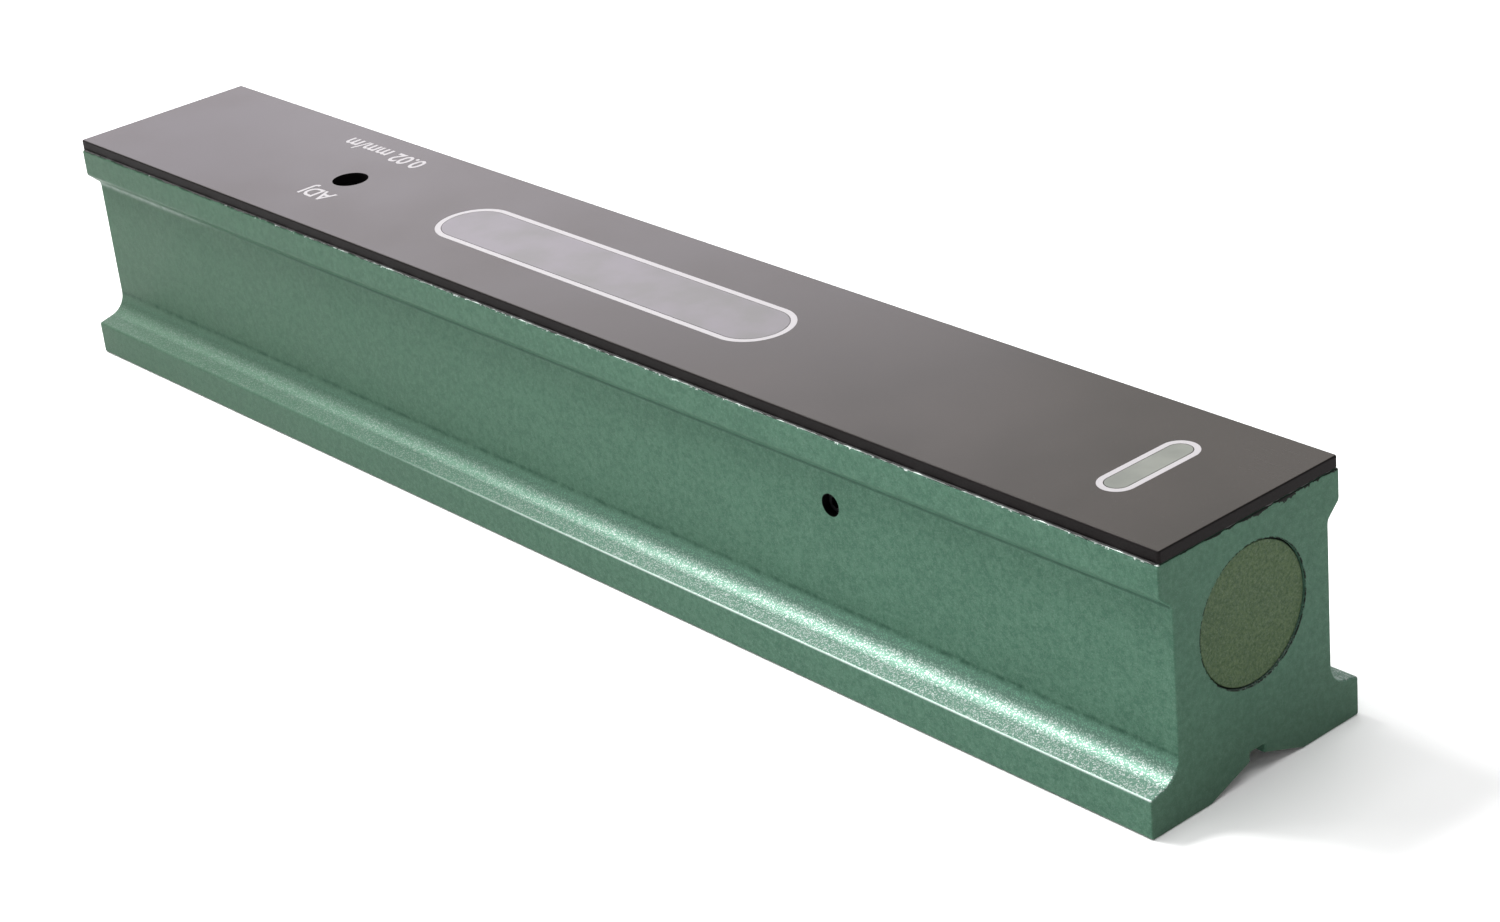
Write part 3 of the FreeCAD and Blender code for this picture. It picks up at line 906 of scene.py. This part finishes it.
@dataclass(frozen=True)
class PlugPaint(HammeredPaint):
    """Duller olive paint of the end plugs, with painted shade in the groove round them."""

    name: str = "green_paint_plug"
    light: Colour = (0.070, 0.112, 0.046)
    dark: Colour = (0.028, 0.062, 0.021)
    groove_shade: Colour = (0.010, 0.014, 0.011)
    grain: float = 0.55 * MM
    grain_depth: float = 0.02 * MM
    metallic: float = 0.15
    roughness: float = 0.52
    shine: float = 0.2
    rim_radius: float = 11.70 * MM

    def build(self) -> bpy.types.Material:
        """Material of a plug.

        Returns:
            The material.
        """
        recipe = Recipe(self.name)
        colour, gloss, direction, _ = self.coat(recipe)
        radius = recipe.radius_about(Axis.X, BORE_CENTRE)
        ragged = recipe.share(recipe.noise(1.6 * MM, detail=3, roughness=0.7), 0.35 * MM)
        # Painted shade: a ragged near-black ring at the plug's rim, for the shade in its chamfer.
        groove_shade = recipe.ramp(
            recipe.math("ADD", radius, ragged), self.rim_radius + 0.12 * MM, self.rim_radius + 0.2 * MM)
        recipe.set(
            Base_Color=recipe.mix(groove_shade, colour, self.groove_shade), Roughness=gloss, Normal=direction,
            Metallic=recipe.slide(groove_shade, self.metallic, 0.0))
        recipe.set(Specular_IOR_Level=self.shine)
        return recipe.material


@dataclass(frozen=True)
class BlackCover:
    """Glossy black face film on a black plate, with matt cut edges, faint dust and fine scratches."""

    name: str = "black_cover"
    film_dark: Colour = (0.030, 0.026, 0.022)
    film_light: Colour = (0.040, 0.034, 0.029)
    edge_dark: Colour = (0.011, 0.010, 0.010)
    edge_light: Colour = (0.023, 0.020, 0.020)
    dust: Colour = (0.35, 0.34, 0.34)
    edge_roughness: float = 0.62
    shine: float = 0.62
    top_z: float = 46.97 * MM

    def build(self) -> bpy.types.Material:
        """Material of the plate.

        Returns:
            The material.
        """
        recipe = Recipe(self.name)
        face = recipe.both(
            recipe.ramp(recipe.axes[2], self.top_z - 0.06 * MM, self.top_z - 0.02 * MM),
            recipe.ramp(recipe.upward, 0.89, 0.94))
        dust = recipe.ramp(recipe.noise(0.5 * MM, detail=3, roughness=0.8), 0.62, 0.78)
        haze = recipe.ramp(recipe.noise(30 * MM, detail=4), 0.3, 0.7)
        scratch = recipe.ramp(recipe.noise(0.25 * MM, detail=2, stretch=(0.02, 1, 1)), 0.64, 0.72)
        edge = recipe.mix(recipe.noise(0.4 * MM, detail=2), self.edge_dark, self.edge_light)
        film = recipe.mix(haze, self.film_dark, self.film_light)
        film = recipe.mix(recipe.share(dust, 0.12), film, self.dust)
        gloss = recipe.slide(haze, 0.20, 0.27)
        gloss = recipe.slide(recipe.share(scratch, 0.03), gloss, 0.5)
        recipe.set(
            Base_Color=recipe.mix(face, edge, film),
            Roughness=recipe.slide(face, self.edge_roughness, gloss),
            Metallic=recipe.slide(face, 1.0, 0.0),
            Normal=recipe.bump(recipe.noise(0.7 * MM, detail=2), 0.0016 * MM))
        recipe.set(Specular_IOR_Level=self.shine)
        return recipe.material


@dataclass(frozen=True)
class Adhesive:
    """Black adhesive, lumpy and dull."""

    name: str = "black_bond"

    def build(self) -> bpy.types.Material:
        """Material of the film and its beads.

        Returns:
            The material.
        """
        recipe = Recipe(self.name)
        lumps = recipe.noise(0.6 * MM, detail=3)
        recipe.set(
            Base_Color=recipe.mix(lumps, (0.006, 0.006, 0.006), (0.022, 0.022, 0.020)),
            Roughness=recipe.slide(lumps, 0.4, 0.7),
            Normal=recipe.bump(lumps, 0.12 * MM))
        return recipe.material


@dataclass(frozen=True)
class ClearLens:
    """Clear plastic that looks milky when seen at a low angle."""

    name: str = "clear_lens"
    milk: Colour = (0.196, 0.182, 0.199)
    thin_milk: Colour = (0.164, 0.159, 0.159)
    alpha: float = 0.16
    milky_alpha: float = 0.95

    def build(self) -> bpy.types.Material:
        """Material of a window.

        Returns:
            The material.
        """
        recipe = Recipe(self.name)
        veil = recipe.noise(9 * MM, detail=3)
        low_angle = recipe.edge_on(0.22, 0.62)
        recipe.set(
            Base_Color=recipe.mix(recipe.ramp(veil, 0.3, 0.7), self.milk, self.thin_milk),
            Alpha=recipe.slide(low_angle, self.alpha, self.milky_alpha),
            Roughness=recipe.slide(low_angle, 0.03, 0.28),
            Normal=recipe.bump(recipe.noise(2 * MM), 0.001 * MM))
        recipe.set(IOR=1.49)
        return recipe.material


@dataclass(frozen=True)
class Ink:
    """Printed ink with a faint uneven edge of gloss."""

    name: str
    colour: Colour
    shade: Colour
    roughness: float = 0.5

    def build(self) -> bpy.types.Material:
        """Material of the print.

        Returns:
            The material.
        """
        recipe = Recipe(self.name)
        grain = recipe.noise(0.3 * MM, detail=2)
        recipe.set(
            Base_Color=recipe.mix(grain, self.shade, self.colour),
            Roughness=recipe.slide(grain, self.roughness - 0.08, self.roughness + 0.08),
            Normal=recipe.bump(grain, 0.002 * MM))
        return recipe.material


@dataclass(frozen=True)
class TurnedMetal:
    """Machined metal with tool lines round its axis, stains and fine scratches."""

    name: str
    light: Colour
    dark: Colour
    roughness: float
    axis: Axis = Axis.X
    line: float = 0.16 * MM
    metallic: float = 1.0

    def build(self) -> bpy.types.Material:
        """Material of the metal.

        Returns:
            The material.
        """
        recipe = Recipe(self.name)
        squeeze = tuple(1.0 if i == self.axis.value else 0.05 for i in range(3))
        lines = recipe.noise(self.line, detail=2, stretch=squeeze)
        stain = recipe.noise(3 * MM, detail=4, roughness=0.65)
        dull = recipe.ramp(stain, 0.3, 0.7)
        colour = recipe.mix(dull, self.light, self.dark)
        grooves = recipe.share(recipe.ramp(lines, 0.45, 0.75), 0.35)
        recipe.set(
            Base_Color=recipe.mix(grooves, colour, self.dark),
            Roughness=recipe.slide(dull, self.roughness, self.roughness + 0.14),
            Normal=recipe.bump(lines, 0.006 * MM),
            Metallic=self.metallic)
        return recipe.material


@dataclass(frozen=True)
class Clear:
    """Glass, liquid or the air in it: see-through where it is faced and denser at its edges."""

    name: str
    colour: Colour
    edge_colour: Colour
    alpha: float
    edge_alpha: float
    index: float

    def build(self) -> bpy.types.Material:
        """Material of the clear stuff.

        Returns:
            The material.
        """
        recipe = Recipe(self.name)
        streak = recipe.noise(6 * MM, detail=2, stretch=(0.3, 1, 1))
        edge = recipe.edge_on(0.35, 0.95)
        tint = tuple(0.94 * c for c in self.colour)
        recipe.set(
            Base_Color=recipe.mix(edge, recipe.mix(streak, self.colour, tint), self.edge_colour),
            Alpha=recipe.slide(edge, self.alpha, self.edge_alpha),
            Roughness=recipe.slide(streak, 0.02, 0.06),
            Normal=recipe.bump(streak, 0.0015 * MM))
        recipe.set(IOR=self.index)
        return recipe.material


@dataclass(frozen=True)
class Powdery:
    """Plaster or paper: pale, matt and slightly uneven."""

    name: str
    light: Colour
    dark: Colour
    grain: float

    def build(self) -> bpy.types.Material:
        """Material of the pale stuff.

        Returns:
            The material.
        """
        recipe = Recipe(self.name)
        grain = recipe.noise(self.grain, detail=4, roughness=0.65)
        recipe.set(
            Base_Color=recipe.mix(recipe.ramp(grain, 0.3, 0.7), self.light, self.dark),
            Roughness=recipe.slide(grain, 0.85, 0.97),
            Normal=recipe.bump(grain, 0.05 * MM))
        return recipe.material


# ---- sub-assemblies -------------------------------------------------------------------------


class Finish(Protocol):
    """Anything that can build a material."""

    def build(self) -> bpy.types.Material:
        """The material."""


def dress_nodes(finish: Finish, *nodes: str) -> None:
    """Give CAD nodes one material.

    Args:
        finish: Finish that builds the material.
        *nodes: Names of the nodes.
    """
    material = finish.build()
    for node in nodes:
        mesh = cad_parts[node].data
        mesh.materials.clear()
        mesh.materials.append(material)
        log.info("%s: %s", node, material.name)


@dataclass
class CastBody:
    """The bar and the plugs that close its bore."""

    paint: BodyPaint = BodyPaint()
    plug_paint: PlugPaint = PlugPaint()

    def dress(self) -> None:
        """Paint the body and its plugs."""
        dress_nodes(self.paint, "body")
        dress_nodes(self.plug_paint, "end_plug_left", "end_plug_right")


@dataclass
class Cover:
    """The black plate with its windows, printed marks and adhesive."""

    ink_rise: float = 0.016 * MM
    ink_sink: float = 0.004 * MM
    rim_gap: float = 0.10 * MM
    window_flange: float = 1.45 * MM
    main_rim: float = 1.12 * MM
    cross_rim: float = 1.05 * MM
    rim_points: int = 240
    label_height: float = 3.9 * MM
    figure_height: float = 4.1 * MM
    capital_share: float = 0.73
    stroke_growth: float = 0.018
    label_centre: tuple[float, float] = (-79.6 * MM, -8.0 * MM)
    figure_centre: tuple[float, float] = (-87.2 * MM, 12.9 * MM)
    bead_reach: float = 0.34 * MM
    bead_drop: float = 0.5 * MM
    bead_setback: float = 1 * MM
    bare_corner: float = 14 * MM
    white: Ink = Ink("white_ink", (0.46, 0.44, 0.455), (0.40, 0.385, 0.395))
    cross_lens: ClearLens = ClearLens("clear_lens_small", (0.250, 0.262, 0.233), (0.190, 0.201, 0.180))

    def build(self) -> None:
        """Make the printed outlines, the lettering and the squeezed adhesive."""
        ink = self.white.build()
        plate_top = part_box("cover_plate")[1].z
        for name, node, width in (
            ("main_window_outline", "main_window", self.main_rim),
            ("cross_window_outline", "cross_window", self.cross_rim),
        ):
            self.outline(name, node, width, plate_top).data.materials.append(ink)
        for name, words, height, centre in (
            ("adjust_label", "ADJ", self.label_height, self.label_centre),
            ("sensitivity_label", "0.02 mm/m", self.figure_height, self.figure_centre),
        ):
            self.lettering(name, words, height, centre, plate_top).data.materials.append(ink)
        self.beads()

    def outline(self, name: str, node: str, width: float, plate_top: float) -> bpy.types.Object:
        """Printed line round a window.

        Args:
            name: Name of the piece.
            node: CAD node of the window.
            width: Width of the line.
            plate_top: Height of the plate's top.

        Returns:
            The piece.
        """
        low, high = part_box(node)
        inset = 2 * (self.window_flange - self.rim_gap)
        path, outward = stadium_path(
            high.x - low.x - inset, high.y - low.y - inset, (low.x + high.x) / 2, self.rim_points)
        points, faces = flat_band(
            path, outward, width, plate_top - self.ink_sink, plate_top + self.ink_rise)
        return make_piece(name, points, faces, Body.BASE, smooth=False)

    def lettering(
        self, name: str, words: str, height: float, centre: tuple[float, float], plate_top: float
    ) -> bpy.types.Object:
        """Printed words, to be read from the back of the level.

        Args:
            name: Name of the piece.
            words: What is printed.
            height: Height of a capital.
            centre: Middle of the words on the plate.
            plate_top: Height of the plate's top.

        Returns:
            The piece.
        """
        curve = bpy.data.curves.new(name + "_curve", "FONT")
        curve.body = words
        curve.extrude = 0.5
        curve.offset = self.stroke_growth
        curve.resolution_u = 6
        writing = bpy.data.objects.new(name + "_curve", curve)
        bpy.context.scene.collection.objects.link(writing)
        bpy.context.view_layer.update()
        evaluated = writing.evaluated_get(bpy.context.evaluated_depsgraph_get())
        mesh = bpy.data.meshes.new_from_object(evaluated)
        bpy.data.objects.remove(writing)
        points = np.zeros(len(mesh.vertices) * 3)
        mesh.vertices.foreach_get("co", points)
        points = points.reshape(-1, 3)
        low, high = points.min(axis=0), points.max(axis=0)
        size = height / self.capital_share
        placed = (points - (low + high) / 2) * np.array([-size, -size, self.ink_rise + self.ink_sink])
        placed += np.array([*centre, plate_top + (self.ink_rise - self.ink_sink) / 2])
        mesh.vertices.foreach_set("co", placed.reshape(-1))
        mesh.update()
        mesh.name = name
        piece = bpy.data.objects.new(name, mesh)
        bpy.context.scene.collection.objects.link(piece)
        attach(piece, Body.BASE.value)
        log.info("%s: %s", name, words)
        return piece

    def beads(self) -> None:
        """Adhesive that was squeezed out under the plate's edges."""
        glue = Adhesive().build()
        low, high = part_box("cover_bond")
        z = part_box("cover_plate")[0].z
        back = high.y - self.bead_setback
        front = low.y + self.bead_setback
        runs = (
            ("adhesive_bead_right", (high.x, back), (high.x, low.y + self.bare_corner), (1, 0, 0), 3),
            ("adhesive_bead_left", (low.x, front), (low.x, back), (-1, 0, 0), 5),
            ("adhesive_bead_back", (low.x, high.y), (high.x, high.y), (0, 1, 0), 8),
            ("adhesive_bead_front", (low.x, low.y), (high.x, low.y), (0, -1, 0), 11),
        )
        for name, start, end, out, seed in runs:
            points, faces = squeezed_bead(
                Vector((*start, z)), Vector((*end, z)), Vector(out), Vector((0, 0, -1)),
                self.bead_reach, self.bead_drop, seed)
            make_piece(name, points, faces, Body.BASE).data.materials.append(glue)

    def dress(self) -> None:
        """Finish the plate, its film and its windows."""
        dress_nodes(BlackCover(), "cover_plate")
        dress_nodes(Adhesive("black_bond_film"), "cover_bond")
        dress_nodes(ClearLens(), "main_window")
        dress_nodes(self.cross_lens, "cross_window")


@dataclass
class Vial:
    """A sealed glass with its liquid, its bubble and its graduation."""

    label: str
    glass_node: str
    liquid_node: str
    bubble_node: str
    body: Body
    bubble_body: Body
    along_y: bool
    wall: float
    half_length: float
    shoulder: float
    bubble_half: float
    bubble_depth: float
    mark_places: np.ndarray
    mark_half_angle: float
    ink: Ink
    mark_width: float = 0.22 * MM
    mark_thickness: float = 0.012 * MM
    mark_steps: int = 24
    wet_gap: float = 0.03 * MM
    bubble_gap: float = 0.01 * MM
    liquid_points: int = 96
    bubble_rows: int = 64
    bubble_columns: int = 48

    @property
    def radius(self) -> float:
        """Outer radius of the glass."""
        low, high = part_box(self.glass_node)
        return (high.x - low.x if self.along_y else high.y - low.y) / 2

    @property
    def centre(self) -> Vector:
        """Middle of the glass."""
        low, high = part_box(self.glass_node)
        return (low + high) / 2

    def place(self, points: np.ndarray) -> np.ndarray:
        """Turn and move what was made along X about the origin onto the glass.

        Args:
            points: Points along X.

        Returns:
            Points on the glass.
        """
        points = points.reshape(-1, 3)
        if self.along_y:
            points = np.stack([-points[:, 1], points[:, 0], points[:, 2]], axis=-1)
        return points + np.array(self.centre)

    def build(self, liquid: bpy.types.Material, air: bpy.types.Material) -> None:
        """Make the liquid, the bubble and the graduation.

        Args:
            liquid: Material of the liquid.
            air: Material of the bubble.
        """
        inner = self.radius - self.wall
        wet = inner - self.wet_gap
        half = self.half_length - self.wall
        along = np.array([-half, -half, -half + self.shoulder, half - self.shoulder, half, half])
        radius = np.array([0.0, wet - self.shoulder, wet, wet, wet - self.shoulder, 0.0])
        points, faces = turned_surface(along, radius, self.liquid_points)
        piece = make_piece(self.label + "_liquid", self.place(points), faces, self.body)
        piece.data.materials.append(liquid)
        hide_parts(self.liquid_node)

        points, faces = bubble_surface(
            inner - self.bubble_gap, self.bubble_depth - self.bubble_gap, self.bubble_half,
            self.bubble_rows, self.bubble_columns)
        piece = make_piece(self.label + "_bubble_skin", self.place(points), faces, self.bubble_body)
        piece.data.materials.append(air)
        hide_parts(self.bubble_node)

        points, faces = mark_rings(
            self.mark_places, self.radius, self.mark_half_angle, self.mark_width,
            self.mark_thickness, self.mark_steps)
        piece = make_piece(self.label + "_graduation", self.place(points), faces, self.body)
        piece.data.materials.append(self.ink.build())

@dataclass
class VialUnit:
    """The slotted tube with its end blocks, the cradle, and what holds the glasses in them."""

    tube: TurnedMetal = TurnedMetal("nickel_tube", (0.66, 0.65, 0.62), (0.42, 0.41, 0.38), 0.22)
    brass: TurnedMetal = TurnedMetal("turned_brass", (0.78, 0.58, 0.26), (0.50, 0.35, 0.14), 0.24)
    screws: TurnedMetal = TurnedMetal(
        "brass_screws", (0.80, 0.62, 0.30), (0.46, 0.33, 0.14), 0.28, Axis.Z)
    plaster: Powdery = Powdery("plaster", (0.84, 0.83, 0.79), (0.66, 0.64, 0.60), 0.6 * MM)
    paper: Powdery = Powdery("white_paper", (0.90, 0.90, 0.88), (0.80, 0.80, 0.77), 0.25 * MM)

    def dress(self) -> None:
        """Finish the tube, the end blocks, the plaster and the paper."""
        dress_nodes(self.tube, "vial_tube")
        dress_nodes(self.brass, "pivot_block", "adjusting_block", "cross_holder")
        dress_nodes(self.screws, "cross_holder_screws")
        dress_nodes(self.plaster, "vial_seat_left", "vial_seat_right", "cross_bedding")
        dress_nodes(self.paper, "backing_strip")


@dataclass
class Screws:
    """The adjusting screw with its spring, and the two pivot screws."""

    pivot: TurnedMetal = TurnedMetal(
        "black_oxide_steel", (0.050, 0.050, 0.055), (0.018, 0.018, 0.020), 0.34, Axis.Y)
    adjusting: TurnedMetal = TurnedMetal(
        "black_oxide_screw", (0.055, 0.055, 0.060), (0.020, 0.020, 0.022), 0.32, Axis.Z)
    spring: TurnedMetal = TurnedMetal(
        "spring_steel", (0.50, 0.50, 0.52), (0.26, 0.25, 0.25), 0.25, Axis.Z)

    def dress(self) -> None:
        """Finish the screws and the spring."""
        dress_nodes(self.pivot, "pivot_screw_front", "pivot_screw_back")
        dress_nodes(self.adjusting, "adjusting_screw")
        dress_nodes(self.spring, "adjusting_spring")


@dataclass(frozen=True)
class Lamp:
    """A soft rectangular light."""

    name: str
    place: Place
    aim: Place
    size: tuple[float, float]
    watts: float
    colour: Colour = (1.0, 1.0, 1.0)

    def hang(self) -> None:
        """Put the light in the scene, facing what it aims at."""
        light = bpy.data.lights.new(self.name, "AREA")
        light.shape = "RECTANGLE"
        light.size, light.size_y = self.size
        light.energy = self.watts
        light.color = self.colour
        lamp = bpy.data.objects.new(self.name, light)
        lamp.location = self.place
        line = Vector(self.aim) - Vector(self.place)
        lamp.rotation_euler = line.to_track_quat("-Z", "Y").to_euler()
        bpy.context.scene.collection.objects.link(lamp)


@dataclass
class Studio:
    """Camera, floor and soft light."""

    camera_place: Place = (0.43235, -0.32102, 0.26319)
    camera_aim: Place = (-0.702214, 0.567031, -0.430549)
    camera_up: Place = (-0.266903, 0.350973, 0.897541)
    focal_mm: float = 77.4
    sensor_mm: float = 36.0
    floor_half: float = 4.0
    floor_points: int = 9
    floor_drop: float = 0.02 * MM
    world_strength: float = 0.36
    lamps: tuple[Lamp, ...] = (
        Lamp("key_box", (-1.22, -0.36, 1.76), (0.10, -0.02, 0.01), (0.75, 0.50), 42.0),
        Lamp("low_key", (-1.19, -0.92, 1.21), (0.10, -0.02, 0.01), (0.50, 0.50), 7.0),
        Lamp("far_box", (-1.25, 0.66, 0.42), (-0.1, 0.0, 0.04), (1.0, 0.5), 1.95, (1.0, 0.92, 1.04)),
        Lamp("back_box", (-0.75, 0.85, 0.70), (0.05, 0.0, 0.04), (0.9, 0.6), 0.55, (1.0, 0.96, 0.94)),
        Lamp("top_box", (0.22, 0.05, 2.20), (0.22, 0.0, 0.0), (2.0, 2.0), 36.0),
    )

    def build(self) -> None:
        """Set up the camera, the floor, the surrounding light and the lamps."""
        self.camera()
        self.floor()
        world = bpy.data.worlds.new("studio_world")
        world.use_nodes = True
        background = world.node_tree.nodes["Background"]
        background.inputs["Color"].default_value = (1.0, 1.0, 1.0, 1.0)
        background.inputs["Strength"].default_value = self.world_strength
        bpy.context.scene.world = world
        bpy.context.scene.view_settings.view_transform = "Standard"
        for lamp in self.lamps:
            lamp.hang()

    def camera(self) -> None:
        """Camera at its place, looking along its aim with its own roll."""
        camera = bpy.data.cameras.new("camera")
        camera.lens = self.focal_mm
        camera.sensor_width = self.sensor_mm
        camera.clip_start = 0.01
        camera.dof.use_dof = False
        holder = bpy.data.objects.new("camera", camera)
        back = -Vector(self.camera_aim).normalized()
        right = Vector(self.camera_up).cross(back).normalized()
        up = back.cross(right)
        turn = Matrix((right, up, back)).transposed().to_4x4()
        holder.matrix_world = Matrix.Translation(self.camera_place) @ turn
        bpy.context.scene.collection.objects.link(holder)
        bpy.context.scene.camera = holder

    def floor(self) -> None:
        """Plain pale floor: a flat square grid a hair below z = 0."""
        count = self.floor_points
        step = np.linspace(-self.floor_half, self.floor_half, count)
        x, y = np.meshgrid(step, step, indexing="ij")
        points = np.stack([x, y, 0 * x - self.floor_drop], axis=-1)
        mesh = bpy.data.meshes.new("floor")
        faces = grid_faces(count, count, False, False)
        mesh.from_pydata(points.reshape(-1, 3).tolist(), [], faces.tolist())
        floor = bpy.data.objects.new("floor", mesh)
        bpy.context.scene.collection.objects.link(floor)
        recipe = Recipe("pale_floor")
        recipe.set(
            Base_Color=recipe.mix(recipe.noise(0.4, detail=2), (0.93, 0.93, 0.93), (0.95, 0.95, 0.95)),
            Roughness=0.8)
        mesh.materials.append(recipe.material)


def make_vials() -> None:
    """Both vials with their liquid, bubbles and graduation."""
    black = Ink("graduation_ink", (0.012, 0.012, 0.012), (0.03, 0.03, 0.03), 0.4)
    glass = Clear("vial_glass", (0.84, 0.90, 0.88), (0.50, 0.58, 0.55), 0.10, 0.70, 1.50)
    liquid = Clear("spirit", (0.62, 0.76, 0.30), (0.36, 0.50, 0.12), 0.62, 0.95, 1.36).build()
    air = Clear("bubble_air", (0.93, 0.96, 0.90), (0.30, 0.40, 0.14), 0.70, 0.95, 1.36).build()
    first_mark = 14.0 * MM
    division = 2.0 * MM
    marks_each_side = 8
    outer = first_mark + division * np.arange(marks_each_side)
    main = Vial(
        label="main", glass_node="main_vial", liquid_node="main_spirit", bubble_node="main_bubble",
        body=Body.VIAL_UNIT, bubble_body=Body.LONG_BUBBLE, along_y=False, wall=1.2 * MM,
        half_length=54.0 * MM, shoulder=3.8 * MM, bubble_half=first_mark, bubble_depth=1.6 * MM,
        mark_places=np.concatenate([-outer[::-1], outer]), mark_half_angle=0.95, ink=black)
    cross = Vial(
        label="cross", glass_node="cross_vial", liquid_node="cross_spirit", bubble_node="cross_bubble",
        body=Body.BASE, bubble_body=Body.SHORT_BUBBLE, along_y=True, wall=1.0 * MM,
        half_length=11.0 * MM, shoulder=1.9 * MM, bubble_half=2.65 * MM, bubble_depth=1.0 * MM,
        mark_places=np.array([-3.0, 3.0]) * MM, mark_half_angle=1.0, ink=black)
    for vial in (main, cross):
        vial.build(liquid, air)
    dress_nodes(glass, main.glass_node, cross.glass_node)


def main() -> None:
    """Build and dress the level, piece by piece, and set up the studio."""
    logging.basicConfig(level=logging.INFO, format="%(name)s: %(message)s")
    CastBody().dress()
    cover = Cover()
    cover.build()
    cover.dress()
    make_vials()
    VialUnit().dress()
    Screws().dress()
    Studio().build()
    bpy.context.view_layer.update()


if __name__ == "__main__":
    main()
